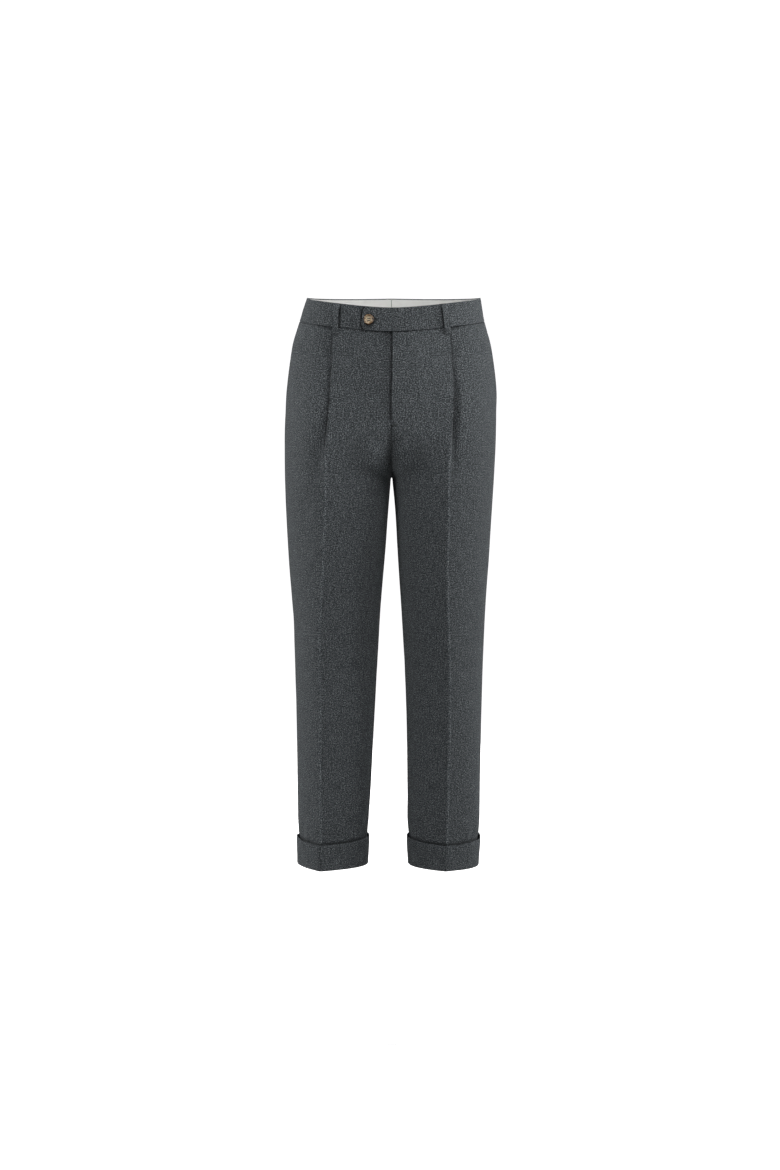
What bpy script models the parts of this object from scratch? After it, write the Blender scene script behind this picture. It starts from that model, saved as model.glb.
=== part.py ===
"""Pleated dress trousers, standing filled out as if worn, with nobody in them.

Frame: metres, +Z up, front towards -Y, the wearer's left towards +X. The origin is the
middle of the waistband ring at the front of its height. All sizes below are millimetres.
Every level section of a half is one path on the cloth's outer skin: centre front or
inseam, front crease, side seam, back crease, and back to the centre or the inseam.
Walls are that path, offset inwards by the cloth, and lofted through the section rows.
"""

import math

import bmesh
import bpy
import numpy as np

# ------------------------------------------------------------------ driving sizes, mm
MM = 0.001
CLOTH = 1.2  # wool flannel with its turned edges
SEAM_GAP = 0.3  # what parts two sewn pieces
LAYER_GAP = 0.4  # between cloths that lie on each other
BAND_CLOTH = 1.6  # waistband with its stiffening
BAND_HEIGHT = 39.4
BAND_PROUD = 0.3  # band over the fronts, where the seam is pressed down
CURTAIN_CLOTH = 1.0
CURTAIN_TOP_DROP = 3.0  # band cloth rolled over the top edge
CURTAIN_HEIGHT = 55.0

WAIST_TOP_FRONT = -5.0  # height of the band's top edge at the centre front
WAIST_TOP_SIDE = 17.6
WAIST_TOP_BACK = 22.4
WAIST_DIP = 0.2  # share of the way to the side over which the front's dip is rounded
CROTCH = -294.0
HEM = -972.0
PANEL_TOP = -35.0  # mean height of the waist seam
PANEL_FOOT = HEM + 3.0  # leg cloth ends inside the turn-up's fold
SLANT_FADE = 110.0  # rows lie level from here down, below the waist seam

TORSO_BLEND = (-70.0, -250.0)  # from one waist oval to two leg rings

# A row for each level section. Outer, inner and crease are distances from the middle,
# front and back are depths from the plane of the widest points; the powers shape the
# section at the crease, 2 for round and towards 1 for a pressed edge.
SECTION_COLUMNS = (
    "z",
    "right_outer", "right_inner", "right_crease",
    "left_outer", "left_inner", "left_crease",
    "front", "back", "front_power", "back_power",
)
SECTIONS = (
    (24, 143.0, 0.0, 98.0, 152.0, 0.0, 98.0, 112.5, 112.5, 2.00, 2.00),
    (-20, 157.4, 0.0, 98.5, 159.6, 0.0, 98.5, 114.5, 117.0, 2.00, 2.00),
    (-55, 168.0, 0.0, 99.5, 168.7, 0.0, 99.0, 116.5, 122.0, 2.00, 2.00),
    (-90, 174.0, 0.0, 100.5, 175.0, 0.0, 101.5, 119.0, 129.0, 1.95, 2.00),
    (-160, 182.0, 0.0, 104.0, 181.2, 0.0, 104.0, 122.0, 138.0, 1.80, 1.95),
    (-230, 185.0, 0.0, 109.5, 180.5, 0.0, 100.0, 123.5, 135.0, 1.60, 1.85),
    (-294, 184.7, 1.0, 110.5, 177.4, 1.2, 96.0, 123.0, 124.0, 1.50, 1.70),
    (-330, 183.6, 3.8, 111.0, 175.1, 4.7, 96.0, 121.0, 117.5, 1.45, 1.60),
    (-440, 178.3, 12.4, 115.5, 168.6, 11.7, 94.5, 110.0, 102.0, 1.40, 1.45),
    (-541, 170.4, 20.3, 121.5, 162.7, 18.2, 96.5, 97.5, 92.0, 1.38, 1.40),
    (-594, 168.8, 23.2, 123.0, 160.5, 21.2, 98.5, 91.0, 89.0, 1.36, 1.38),
    (-700, 166.5, 28.7, 122.0, 157.6, 26.2, 99.5, 80.5, 85.0, 1.35, 1.36),
    (-806, 165.5, 34.4, 123.0, 155.9, 27.8, 98.0, 72.5, 79.5, 1.34, 1.35),
    (-915, 164.5, 40.9, 122.0, 154.4, 28.8, 96.0, 66.5, 73.0, 1.34, 1.35),
    (-972, 165.0, 42.4, 122.0, 152.4, 30.2, 94.0, 65.0, 71.0, 1.34, 1.35),
)

# The rise: how far forward and back the centre seams stand, as shares of the depth.
RISE_COLUMNS = ("z", "front_share", "back_share")
RISE = (
    (-150, 0.996, 0.996),
    (-200, 0.990, 0.985),
    (-230, 0.955, 0.930),
    (-252, 0.860, 0.820),
    (-268, 0.710, 0.690),
    (-280, 0.500, 0.510),
    (-288, 0.270, 0.300),
    (-294, 0.002, 0.002),
)

# How far in front of the widest points the side seam and the inseam run, and the
# fullness of a section at the inner leg and at each side, 2 for an ellipse: squarer
# where the thighs meet, flatter outside the right foot and squarer outside the left.
SEAM_COLUMNS = ("z", "side", "inseam", "inner_power", "right_power", "left_power")
SEAMS = (
    (24, 6.0, 0.0, 2.1, 2.1, 2.1),
    (-90, 9.0, 0.0, 2.1, 2.1, 2.1),
    (-190, 12.0, 0.0, 2.2, 2.1, 2.1),
    (-294, 14.0, 0.3, 3.4, 2.1, 2.1),
    (-480, 16.0, 8.0, 2.5, 2.1, 2.1),
    (-620, 12.0, 15.0, 2.2, 2.1, 2.1),
    (-800, 10.0, 15.0, 2.1, 1.8, 2.3),
    (-972, 9.0, 15.0, 2.1, 1.5, 2.8),
)

# The reverse pleat: how far the cloth is folded under (negative once it has opened),
# how deep each layer steps down, and how far apart the opened steps stand.
PLEAT_COLUMNS = ("z", "under", "step", "spread")
PLEAT = (
    (-35, 14.0, 1.60, 0.0),
    (-110, 10.0, 1.60, 0.0),
    (-160, 6.0, 1.60, 0.0),
    (-190, 2.5, 1.55, 0.0),
    (-212, -1.5, 1.25, 0.4),
    (-238, -3.0, 0.70, 1.2),
    (-262, -4.0, 0.20, 2.0),
    (-294, -4.0, 0.00, 2.0),
)
PLEAT_RELEASE = ((9.0, 1.0), (16.0, 0.70), (26.0, 0.28), (38.0, 0.0))  # rise past the fold

FLY_TOP = -45.0
FLY_FOOT = -200.0
FLY_LAP = 6.0  # right front's edge under the left front
FLY_EASE = 30.0  # width over which the right front steps down under the lap
SHIELD_REACH = (-14.0, 36.0)  # from the middle, towards the wearer's left
SHIELD_DEPTH = 5.1
SHIELD_FOOT = 0.35  # share of its width at the lower end, which is cut to a curve
SHIELD_CURVE = 40.0
SHIELD_COLUMNS = 7
FLY_ROWS = 10
ZIP_REACH = (9.0, 29.0)
ZIP_DEPTH = 1.7
ZIP_TAPE = 1.0
ZIP_CHAIN_WIDTH = 5.0
ZIP_CHAIN = 2.4

POCKET_TOP = -46.0
POCKET_FOOT = -190.0
POCKET_LIFT = 1.1  # front edge stands off the facing
POCKET_GAPE = 1.0

TAB_END = 50.2  # tab's tip, right of the middle
TAB_SHOULDER = 44.0  # its cut corners
TAB_POINT = 12.0  # height of each cut corner
TAB_PROUD = 1.1
UNDERLAP = 38.0  # right half of the band, under the left

LOOP_WIDTH = 10.0
LOOP_CLOTH = 1.6
LOOP_STAND_OFF = 3.2
LOOP_FOOT = -10.5  # lower end, below the waist seam
# Loop, place of its middle along the waist at its top and foot, from the centre front.
LOOPS = (
    ("belt_loop_front_right", -98.5, -92.0),
    ("belt_loop_front_left", 92.5, 92.0),
    ("belt_loop_back_right", -252.0, -250.0),
    ("belt_loop_back_left", 252.0, 250.0),
    ("belt_loop_centre_back", 0.0, 0.0),
)

BUTTON_PLACE = (-37.4, 17.8)  # along the waist, and above the waist seam
BUTTON_SHANK = 0.5
BUTTON_PROFILE = (  # radius and height of the turned disc, from the middle of its back
    (0.0, 0.0), (7.4, 0.0), (8.9, 1.3), (8.7, 2.6), (7.4, 3.3), (6.2, 3.0), (5.2, 2.2), (0.0, 2.0),
)
BUTTON_HOLE = 1.0
BUTTON_HOLE_PITCH = 1.7

TURNUP_TOP_SIDE = -921.5
TURNUP_TOP_FRONT = -926.5
TURNUP_LIP = 12.0  # folded part inside the leg

LEVELS = (
    PANEL_TOP, -62, -86, -112, -140, -166, -186, -200, -213, -227, -242, -256, -269,
    -280, -288, -294, -306, -335, -380, -430, -490, -555, -630, -715, -820, -924, -950, PANEL_FOOT,
)
DENSE = 48  # points for each quarter of a section, before it is spaced out
FRONT_INNER_COLUMNS = 8
FRONT_OUTER_COLUMNS = 2  # between the pleat's release and the side edge
SIDE_EDGE = (30.0, 18.0, 8.0, 0.0)  # columns along the side seam, distances from it
BACK_COLUMNS = (8, 8)
BAND_COLUMNS = 28
CURTAIN_COLUMNS = 20
CURTAIN_ROWS = 4

RIGHT = -1.0
LEFT = 1.0


# ------------------------------------------------------------------ tables and helpers
def smooth(xs, ys, x):
    """Value at x of a curve through the points: cubic pieces whose slopes are the
    mean slopes of the neighbouring spans, flat where a table turns round."""
    order = np.argsort(xs)
    xs = np.asarray(xs, float)[order]
    ys = np.asarray(ys, float)[order]
    spans = np.diff(xs)
    rates = np.diff(ys) / spans
    slopes = np.zeros_like(ys)
    slopes[0] = rates[0]
    slopes[-1] = rates[-1]
    same_way = rates[:-1] * rates[1:] > 0.0
    weighted = (rates[:-1] * spans[1:] + rates[1:] * spans[:-1]) / (spans[:-1] + spans[1:])
    slopes[1:-1] = np.where(same_way, weighted, 0.0)
    x = np.clip(np.asarray(x, float), xs[0], xs[-1])
    i = np.clip(np.searchsorted(xs, x, side="right") - 1, 0, len(spans) - 1)
    t = (x - xs[i]) / spans[i]
    a = ys[i] * (1.0 + 2.0 * t) * (1.0 - t) ** 2
    b = slopes[i] * spans[i] * t * (1.0 - t) ** 2
    c = ys[i + 1] * t**2 * (3.0 - 2.0 * t)
    d = slopes[i + 1] * spans[i] * t**2 * (t - 1.0)
    return a + b + c + d


def column(table, names, name, z):
    """A table's named column at height z."""
    rows = np.array(table, float)
    return smooth(rows[:, 0], rows[:, names.index(name)], z)


def section(name, z):
    return column(SECTIONS, SECTION_COLUMNS, name, z)


def side_name(side):
    return "left" if side > 0.0 else "right"


def ease(t):
    """0 below 0, 1 above 1, with a smooth run between."""
    t = np.clip(t, 0.0, 1.0)
    return t * t * (3.0 - 2.0 * t)


def arc_lengths(points):
    steps = np.linalg.norm(np.diff(points, axis=0), axis=1)
    return np.concatenate([[0.0], np.cumsum(steps)])


def respace(points, count):
    """The same path with count evenly spaced points."""
    s = arc_lengths(points)
    wanted = np.linspace(0.0, s[-1], count)
    return np.stack([np.interp(wanted, s, points[:, k]) for k in range(2)], axis=1)


def path_normals(points):
    """Unit normals on the right-hand side of an open path, and the mitre at each
    point, so that an offset keeps the wall's thickness round a corner."""
    steps = np.diff(points, axis=0)
    steps /= np.linalg.norm(steps, axis=1)[:, None]
    sides = np.stack([steps[:, 1], -steps[:, 0]], axis=1)
    before = np.vstack([sides[:1], sides])
    after = np.vstack([sides, sides[-1:]])
    mean = before + after
    length = np.linalg.norm(mean, axis=1)[:, None]
    unit = mean / np.maximum(length, 1e-9)
    mitre = 1.0 / np.maximum(np.sum(unit * before, axis=1), 0.6)
    return unit, mitre


# ------------------------------------------------------------------ level sections
def quarter(centre, reach, depth, powers, start, stop):
    """A quarter round: x = centre + reach cos(t)^(2/a), y = depth sin(t)^(2/b), for
    powers a at the crease and b at the side."""
    t = np.linspace(start, stop, DENSE)
    c = np.clip(np.cos(t), 0.0, 1.0) ** (2.0 / powers[0])
    s = np.clip(np.sin(t), 0.0, 1.0) ** (2.0 / powers[1])
    return np.stack([centre + reach * c, depth * s], axis=1)


def depth_angle(share, power):
    """Angle of a quarter round whose depth there is this share of the full one."""
    return math.asin(min(float(share), 0.9995) ** (power / 2.0))


def half_section(side, z):
    """Front and back paths of one half at height z, x away from the middle.
    Each is (path, number of the crease point)."""
    name = side_name(side)
    outer = float(section(name + "_outer", z))
    inner = float(section(name + "_inner", z))
    crease = float(section(name + "_crease", z))
    back_crease = outer + inner - crease
    front = float(section("front", z))
    back = float(section("back", z))
    front_power = float(section("front_power", z))
    back_power = float(section("back_power", z))
    side_fore = float(column(SEAMS, SEAM_COLUMNS, "side", z))
    inseam_fore = float(column(SEAMS, SEAM_COLUMNS, "inseam", z))
    inner_power = float(column(SEAMS, SEAM_COLUMNS, "inner_power", z))
    side_power = float(column(SEAMS, SEAM_COLUMNS, name + "_power", z))
    front_in = (front_power, inner_power)
    back_in = (back_power, inner_power)
    front_out = (front_power, side_power)
    back_out = (back_power, side_power)
    right_angle = math.pi / 2.0
    side_angle = depth_angle(side_fore / front, side_power)
    if z > CROTCH:
        front_cut = depth_angle(column(RISE, RISE_COLUMNS, "front_share", z), inner_power)
        back_cut = depth_angle(column(RISE, RISE_COLUMNS, "back_share", z), inner_power)
        front_reach = crease / math.cos(front_cut) ** (2.0 / front_power)
        back_reach = back_crease / math.cos(back_cut) ** (2.0 / back_power)
        tail = None
    else:
        front_cut = depth_angle(inseam_fore / front, inner_power)
        back_cut = 0.0
        front_reach = crease - inner
        back_reach = back_crease - inner
        tail = quarter(crease, -front_reach, -front, front_in, 0.0, front_cut)
    front_inner = quarter(crease, -front_reach, -front, front_in, front_cut, right_angle)
    front_outer = quarter(crease, outer - crease, -front, front_out, right_angle, side_angle)
    corner = quarter(crease, outer - crease, -front, front_out, side_angle, 0.0)
    back_outer = quarter(back_crease, outer - back_crease, back, back_out, 0.0, right_angle)
    back_inner = quarter(back_crease, -back_reach, back, back_in, right_angle, back_cut)
    if tail is not None:
        back_inner = np.vstack([back_inner, tail[1:]])
    leg = [
        respace(front_inner, DENSE),
        respace(front_outer, DENSE),
        respace(np.vstack([corner, back_outer[1:]]), DENSE),
        respace(back_inner, DENSE),
    ]

    # The waist oval, with the same corners.
    turn_front = math.asin(crease / outer)
    turn_side = math.acos(side_fore / front)
    turn_back = math.acos(back_crease / outer)

    def oval(start, stop):
        a = np.linspace(start, stop, DENSE)
        depth = np.where(a < right_angle, front, back)
        return respace(np.stack([outer * np.sin(a), -depth * np.cos(a)], axis=1), DENSE)

    torso = [
        oval(0.0, turn_front),
        oval(turn_front, turn_side),
        oval(turn_side, right_angle + turn_back),
        oval(right_angle + turn_back, math.pi),
    ]
    top, foot = TORSO_BLEND
    share = float(ease((z - top) / (foot - top)))
    parts = [(1.0 - share) * t + share * l for t, l in zip(torso, leg)]
    front_path = np.vstack([parts[0], parts[1][1:]])
    back_path = np.vstack([parts[2], parts[3][1:]])
    front_path[:, 0] += SEAM_GAP / 2.0
    back_path[:, 0] += SEAM_GAP / 2.0
    return (front_path, DENSE - 1), (back_path, DENSE - 1)


FRONT = 0
BACK = 1
SLANT_STEPS = 6  # sections between a slanted row's lowest and highest point


class Path:
    """One row of a front or a back: a section path that follows the slant of the
    waist, and can be read at any distance along it and any height off its skin.
    Distances before its start run on along its first direction."""

    def __init__(self, side, which, z):
        points, crease = half_section(side, z)[which]
        s = arc_lengths(points)
        fore = float(column(SEAMS, SEAM_COLUMNS, "side", z))
        if which == FRONT:
            share = s / (s[-1] + fore)
        else:
            share = 1.0 + (s - fore) / (s[-1] - fore)
        self.heights = row_heights(z, share)
        low, high = self.heights.min(), self.heights.max()
        if high - low > 0.01:
            levels = np.linspace(low, high, SLANT_STEPS + 1)
            stack = np.stack([half_section(side, level)[which][0] for level in levels])
            place = (self.heights - low) / (high - low) * SLANT_STEPS
            below = np.minimum(place.astype(int), SLANT_STEPS - 1)
            t = (place - below)[:, None]
            j = np.arange(len(points))
            points = (1.0 - t) * stack[below, j] + t * stack[below + 1, j]
        self.points = points
        self.s = arc_lengths(points)
        self.length = self.s[-1]
        self.crease = self.s[crease]
        self.normals, _ = path_normals(points)

    def height(self, s):
        return np.interp(s, self.s, self.heights)

    def at(self, s, n=0.0):
        s = np.asarray(s, float)
        n = np.asarray(n, float)
        place = np.stack([np.interp(s, self.s, self.points[:, k]) for k in range(2)], axis=-1)
        normal = np.stack([np.interp(s, self.s, self.normals[:, k]) for k in range(2)], axis=-1)
        normal /= np.linalg.norm(normal, axis=-1)[..., None]
        start = self.points[1] - self.points[0]
        start = start / np.linalg.norm(start)
        place = place + np.minimum(s, 0.0)[..., None] * start
        return place + n[..., None] * normal


# ------------------------------------------------------------------ the waist
def waist_top(share):
    """Height of the band's top edge, for 0 at the centre front, 1 at the side seam
    and 2 at the centre back: a round dip, an even climb to the side, then little."""
    share = np.asarray(share, float)
    climb = np.hypot(share, WAIST_DIP) - WAIST_DIP
    climb = climb / (math.hypot(1.0, WAIST_DIP) - WAIST_DIP)
    fore = WAIST_TOP_FRONT + (WAIST_TOP_SIDE - WAIST_TOP_FRONT) * climb
    aft = WAIST_TOP_SIDE + (WAIST_TOP_BACK - WAIST_TOP_SIDE) * (share - 1.0)
    return np.where(share < 1.0, fore, aft)


def waist_seam(share):
    return waist_top(share) - BAND_HEIGHT


def row_heights(z, share):
    """Rows follow the slanting waist seam at the top and lie level further down."""
    slant = waist_seam(share) - SEAM_GAP - PANEL_TOP
    return z + slant * (1.0 - ease((PANEL_TOP - z) / SLANT_FADE))


def waist_angles():
    """Distance along the half waist against the angle of its oval, on the seam."""
    a = np.linspace(0.0, math.pi, 361)
    z = -25.0
    outer = 0.5 * float(section("left_outer", z) + section("right_outer", z))
    front = float(section("front", z))
    back = float(section("back", z))
    depth = np.where(a < math.pi / 2.0, front, back)
    points = np.stack([outer * np.sin(a), -depth * np.cos(a)], axis=1)
    return a, arc_lengths(points)


WAIST_ANGLE, WAIST_ARC = waist_angles()
WAIST_HALF = WAIST_ARC[-1]
WAIST_SIDE = float(np.interp(math.pi / 2.0, WAIST_ANGLE, WAIST_ARC))


def waist_point(s, h, n):
    """A point on the waist: s along it from the centre front, the wearer's left
    positive, h above the waist seam, and n out from the cloth's outer skin."""
    s, h, n = np.broadcast_arrays(*(np.asarray(v, float) for v in (s, h, n)))
    side = np.where(s < 0.0, -1.0, 1.0)
    run = np.abs(s)
    a = np.interp(run, WAIST_ARC, WAIST_ANGLE)
    share = np.where(
        run < WAIST_SIDE,
        run / WAIST_SIDE,
        1.0 + (run - WAIST_SIDE) / (WAIST_HALF - WAIST_SIDE),
    )
    z = waist_seam(share) + h
    outer = np.where(side > 0.0, section("left_outer", z), section("right_outer", z))
    depth = np.where(a < math.pi / 2.0, section("front", z), section("back", z))
    x = outer * np.sin(a)
    y = -depth * np.cos(a)
    nx = np.sin(a) / outer
    ny = -np.cos(a) / depth
    length = np.hypot(nx, ny)
    x = x + n * nx / length
    y = y + n * ny / length
    return np.stack([side * x, y, z], axis=-1)


# ------------------------------------------------------------------ mesh helpers
MATERIALS = {
    "flannel": ((0.055, 0.063, 0.067, 1.0), 0.9),
    "curtain_cotton": ((0.56, 0.57, 0.55, 1.0), 0.85),
    "horn": ((0.30, 0.20, 0.12, 1.0), 0.35),
    "zip_tape": ((0.05, 0.055, 0.06, 1.0), 0.7),
}


def material(name):
    found = bpy.data.materials.get(name)
    if found:
        return found
    made = bpy.data.materials.new(name)
    made.use_nodes = True
    colour, roughness = MATERIALS[name]
    shader = made.node_tree.nodes["Principled BSDF"]
    shader.inputs["Base Color"].default_value = colour
    shader.inputs["Roughness"].default_value = roughness
    shader.inputs["Metallic"].default_value = 0.0
    return made


def add_object(name, points, faces, slot):
    """One closed body from points in millimetres, its faces turned outwards."""
    mesh = bpy.data.meshes.new(name)
    mesh.from_pydata((np.asarray(points) * MM).tolist(), [], [tuple(f) for f in faces])
    shape = bmesh.new()
    shape.from_mesh(mesh)
    if shape.calc_volume(signed=True) < 0.0:
        bmesh.ops.reverse_faces(shape, faces=shape.faces)
    shape.to_mesh(mesh)
    shape.free()
    mesh.shade_smooth()
    mesh.set_sharp_from_angle(angle=math.radians(35.0))
    made = bpy.data.objects.new(name, mesh)
    bpy.context.collection.objects.link(made)
    mesh.materials.append(material(slot))
    return made


def grid_faces(rows, columns, first=0, close_rows=False, close_columns=False):
    """Quads over a grid of points numbered row by row."""
    r = np.arange(rows if close_rows else rows - 1)
    c = np.arange(columns if close_columns else columns - 1)
    r, c = np.meshgrid(r, c, indexing="ij")
    r2 = (r + 1) % rows
    c2 = (c + 1) % columns
    corners = [r * columns + c, r * columns + c2, r2 * columns + c2, r2 * columns + c]
    return (np.stack(corners, axis=-1).reshape(-1, 4) + first).tolist()


def wall(name, outer, inner, slot):
    """A sheet with two skins, closed round its four edges."""
    rows, columns, _ = outer.shape
    count = rows * columns
    faces = grid_faces(rows, columns)
    faces += [f[::-1] for f in grid_faces(rows, columns, first=count)]
    rim = [c for c in range(columns)]
    rim += [r * columns + columns - 1 for r in range(1, rows)]
    rim += [(rows - 1) * columns + c for c in range(columns - 2, -1, -1)]
    rim += [r * columns for r in range(rows - 2, 0, -1)]
    for a, b in zip(rim, rim[1:] + rim[:1]):
        faces.append([b, a, a + count, b + count])
    points = np.concatenate([outer.reshape(-1, 3), inner.reshape(-1, 3)])
    return add_object(name, points, faces, slot)


def ring_wall(name, rings, slot):
    """A closed tube swept round a closed ring: rings[profile point][ring point]."""
    profile, around, _ = rings.shape
    faces = grid_faces(profile, around, close_rows=True, close_columns=True)
    return add_object(name, rings.reshape(-1, 3), faces, slot)


# ------------------------------------------------------------------ leg panels
def skins(side, path, s, n):
    """Both skins of one row: the path read at s and n, set in by half the cloth, and
    offset to both sides."""
    middle = path.at(s, n - CLOTH / 2.0)
    unit, mitre = path_normals(middle)
    reach = (CLOTH / 2.0 * mitre)[:, None]
    z = path.height(s)
    pair = []
    for flat in (middle + unit * reach, middle - unit * reach):
        pair.append(np.column_stack([side * flat[:, 0], flat[:, 1], z]))
    return pair


def fly_share(z):
    """How far the right front laps under: all along the fly, and none at its foot."""
    return float(ease((z - FLY_FOOT) / 14.0))


def fly_step(z):
    """The step down under the lap, which runs out below the fly's foot."""
    return float(ease((z - FLY_FOOT) / 24.0 + 1.0))


def pocket_share(z):
    """Opening of the pocket mouth: 0 at its two ends, 1 between."""
    near_top = ease((POCKET_TOP - z) / 30.0)
    near_foot = ease((z - POCKET_FOOT) / 45.0)
    return float(near_top * near_foot)


def front_columns(path, z, start, end):
    """Distances along a front's row, and how far off the path each lies: evenly to
    the crease, down through the pleat's two folds, and evenly on to the side."""
    under = float(column(PLEAT, PLEAT_COLUMNS, "under", z))
    step = float(column(PLEAT, PLEAT_COLUMNS, "step", z))
    spread = float(column(PLEAT, PLEAT_COLUMNS, "spread", z))
    s = list(np.linspace(start, path.crease, FRONT_INNER_COLUMNS + 1))
    n = [0.0] * len(s)
    s += [path.crease + spread, path.crease - under, path.crease - under + spread]
    n += [-step, -step, -2.0 * step]
    last = 0.0
    for past, share in PLEAT_RELEASE:
        s.append(path.crease + past)
        n.append(-2.0 * step * share)
        last = past
    rest = list(np.linspace(path.crease + last, path.length - SIDE_EDGE[0], FRONT_OUTER_COLUMNS + 1))[1:]
    rest += [path.length - distance for distance in SIDE_EDGE[1:-1]] + [end]
    s += rest
    n += [0.0] * len(rest)
    return np.array(s), np.array(n)


def back_columns(path, start, end):
    first, second = BACK_COLUMNS
    to_crease = np.linspace(start, path.crease, first + 1)
    return np.concatenate([to_crease, np.linspace(path.crease, end, second + 1)[1:]])


def front_row(side, z):
    path = Path(side, FRONT, z)
    lap = FLY_LAP * fly_share(z) if side == RIGHT else 0.0
    trim = SEAM_GAP / 2.0 if z <= CROTCH else 0.0
    mouth = pocket_share(z)
    end = path.length - SEAM_GAP / 2.0 - POCKET_GAPE * mouth
    s, n = front_columns(path, z, trim - lap, end)
    if side == RIGHT:
        lapped = 1.0 - ease(s / FLY_EASE)
        n -= (CLOTH + LAYER_GAP) * fly_step(z) * lapped
    n += POCKET_LIFT * mouth * ease((s - path.length + 16.0) / 14.0)
    return skins(side, path, s, n)


def back_row(side, z):
    path = Path(side, BACK, z)
    trim = SEAM_GAP / 2.0
    end = path.length - (trim if z <= CROTCH else 0.0)
    s = back_columns(path, trim, end)
    return skins(side, path, s, np.zeros_like(s))


def panel(name, side, row):
    pairs = [row(side, float(z)) for z in LEVELS]
    outer = np.stack([pair[0] for pair in pairs])
    inner = np.stack([pair[1] for pair in pairs])
    return wall(name, outer, inner, "flannel")


# ------------------------------------------------------------------ pieces on the fronts
def on_front(side, s, z, n):
    """Points on a front at distances s, heights z and n out from its outer skin."""
    rows = []
    for k, height in enumerate(z):
        path = Path(side, FRONT, height)
        flat = path.at(s[k], n[k])
        rows.append(np.column_stack([side * flat[:, 0], flat[:, 1], path.height(s[k])]))
    return np.stack(rows)


def fly_rows():
    return np.linspace(FLY_TOP - 2.0, FLY_FOOT + 4.0, FLY_ROWS)


def fly_point(x, z, n):
    """Points behind the fly at distances x from the middle, the wearer's left
    positive, all read from the left front and run on past its edge."""
    return on_front(LEFT, x, z, n)


def fly_shield():
    z = fly_rows()
    start, stop = SHIELD_REACH
    x = np.tile(np.linspace(start, stop, SHIELD_COLUMNS), (len(z), 1))
    foot = ease((z - z[-1]) / SHIELD_CURVE)[:, None]
    x = start + (x - start) * (SHIELD_FOOT + (1.0 - SHIELD_FOOT) * foot)
    n = np.full_like(x, -SHIELD_DEPTH)
    return wall("fly_shield", fly_point(x, z, n), fly_point(x, z, n - CLOTH), "flannel")


def fly_zip():
    """Tapes with the closed chain standing up between them, and the slider at its top."""
    z = fly_rows()[:-1]
    start, stop = ZIP_REACH
    middle = 0.5 * (start + stop)
    half = ZIP_CHAIN_WIDTH / 2.0
    places = [start, middle - half, middle - half, middle + half, middle + half, stop]
    proud = (ZIP_CHAIN - ZIP_TAPE) / 2.0
    lifts = [0.0, 0.0, proud, proud, 0.0, 0.0]
    nudge = np.array([0.0, -0.2, 0.0, 0.0, 0.2, 0.0])
    x = np.tile(np.array(places) + nudge, (len(z), 1))
    lift = np.tile(np.array(lifts), (len(z), 1))
    outer = fly_point(x, z, lift - ZIP_DEPTH - proud)
    inner = fly_point(x, z, -lift - ZIP_DEPTH - proud - ZIP_TAPE)
    return wall("fly_zip", outer, inner, "zip_tape")


def pocket_facing(side):
    z = np.array([POCKET_TOP] + [level for level in LEVELS if POCKET_TOP > level >= POCKET_FOOT])
    ends = np.array([Path(side, FRONT, height).length for height in z])
    s = ends[:, None] - np.array(SIDE_EDGE[:-1] + (SEAM_GAP / 2.0,))[None, :]
    n = np.full_like(s, -(CLOTH + LAYER_GAP))
    name = "pocket_facing_" + side_name(side)
    return wall(name, on_front(side, s, z, n), on_front(side, s, z, n - CLOTH), "flannel")


# ------------------------------------------------------------------ waistband
def band_wall(name, start, stop, columns, offset, cloth, heights, slot):
    """A wall on the waist. start and stop may change with height; offset gives how
    far its outer skin stands out at each distance."""
    h = np.asarray(heights, float)[:, None]
    share = np.linspace(0.0, 1.0, columns)[None, :]
    first = np.broadcast_to(np.asarray(start, float), (len(heights),))[:, None]
    last = np.broadcast_to(np.asarray(stop, float), (len(heights),))[:, None]
    s = first + (last - first) * share
    n = offset(s, h)
    outer = waist_point(s, h, n)
    inner = waist_point(s, h, n - cloth)
    return wall(name, outer, inner, slot)


BAND_ROWS = (0.0, 12.0, BAND_HEIGHT - 12.0, BAND_HEIGHT)


def right_band_offset(s, h):
    """Dips in before the tab's end, and again at the fly, to pass under the left half."""
    first = ease((s + 66.0) / 12.0)
    second = ease((s + 30.0) / 30.0)
    return BAND_PROUD - 1.0 * first - 1.1 * second + 0.0 * h


def left_band_offset(s, h):
    """Rises on to the right half near the middle and stays proud along the tab."""
    return BAND_PROUD + TAB_PROUD * (1.0 - ease((s - 15.0) / 30.0)) + 0.0 * h


def tab_edge(h):
    """The tab's blunt arrow: its tip is upright, and both corners are cut away."""
    h = np.asarray(h, float)
    from_edge = np.minimum(h, BAND_HEIGHT - h)
    return -(TAB_SHOULDER + (TAB_END - TAB_SHOULDER) * np.clip(from_edge / TAB_POINT, 0.0, 1.0))


def waistbands():
    back = WAIST_HALF - SEAM_GAP / 2.0
    rows = np.array(BAND_ROWS)
    band_wall("waistband_right", -back, UNDERLAP, BAND_COLUMNS, right_band_offset,
              BAND_CLOTH, rows, "flannel")
    band_wall("waistband_left", tab_edge(rows), back, BAND_COLUMNS, left_band_offset,
              BAND_CLOTH, rows, "flannel")


def curtain_offset(s, h):
    """Close behind the band at its top, and clear of the pleats' layers below it."""
    top = -(BAND_CLOTH + LAYER_GAP) + BAND_PROUD
    return top - 3.6 * ease((BAND_HEIGHT - h) / 36.0) + 0.0 * s


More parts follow.
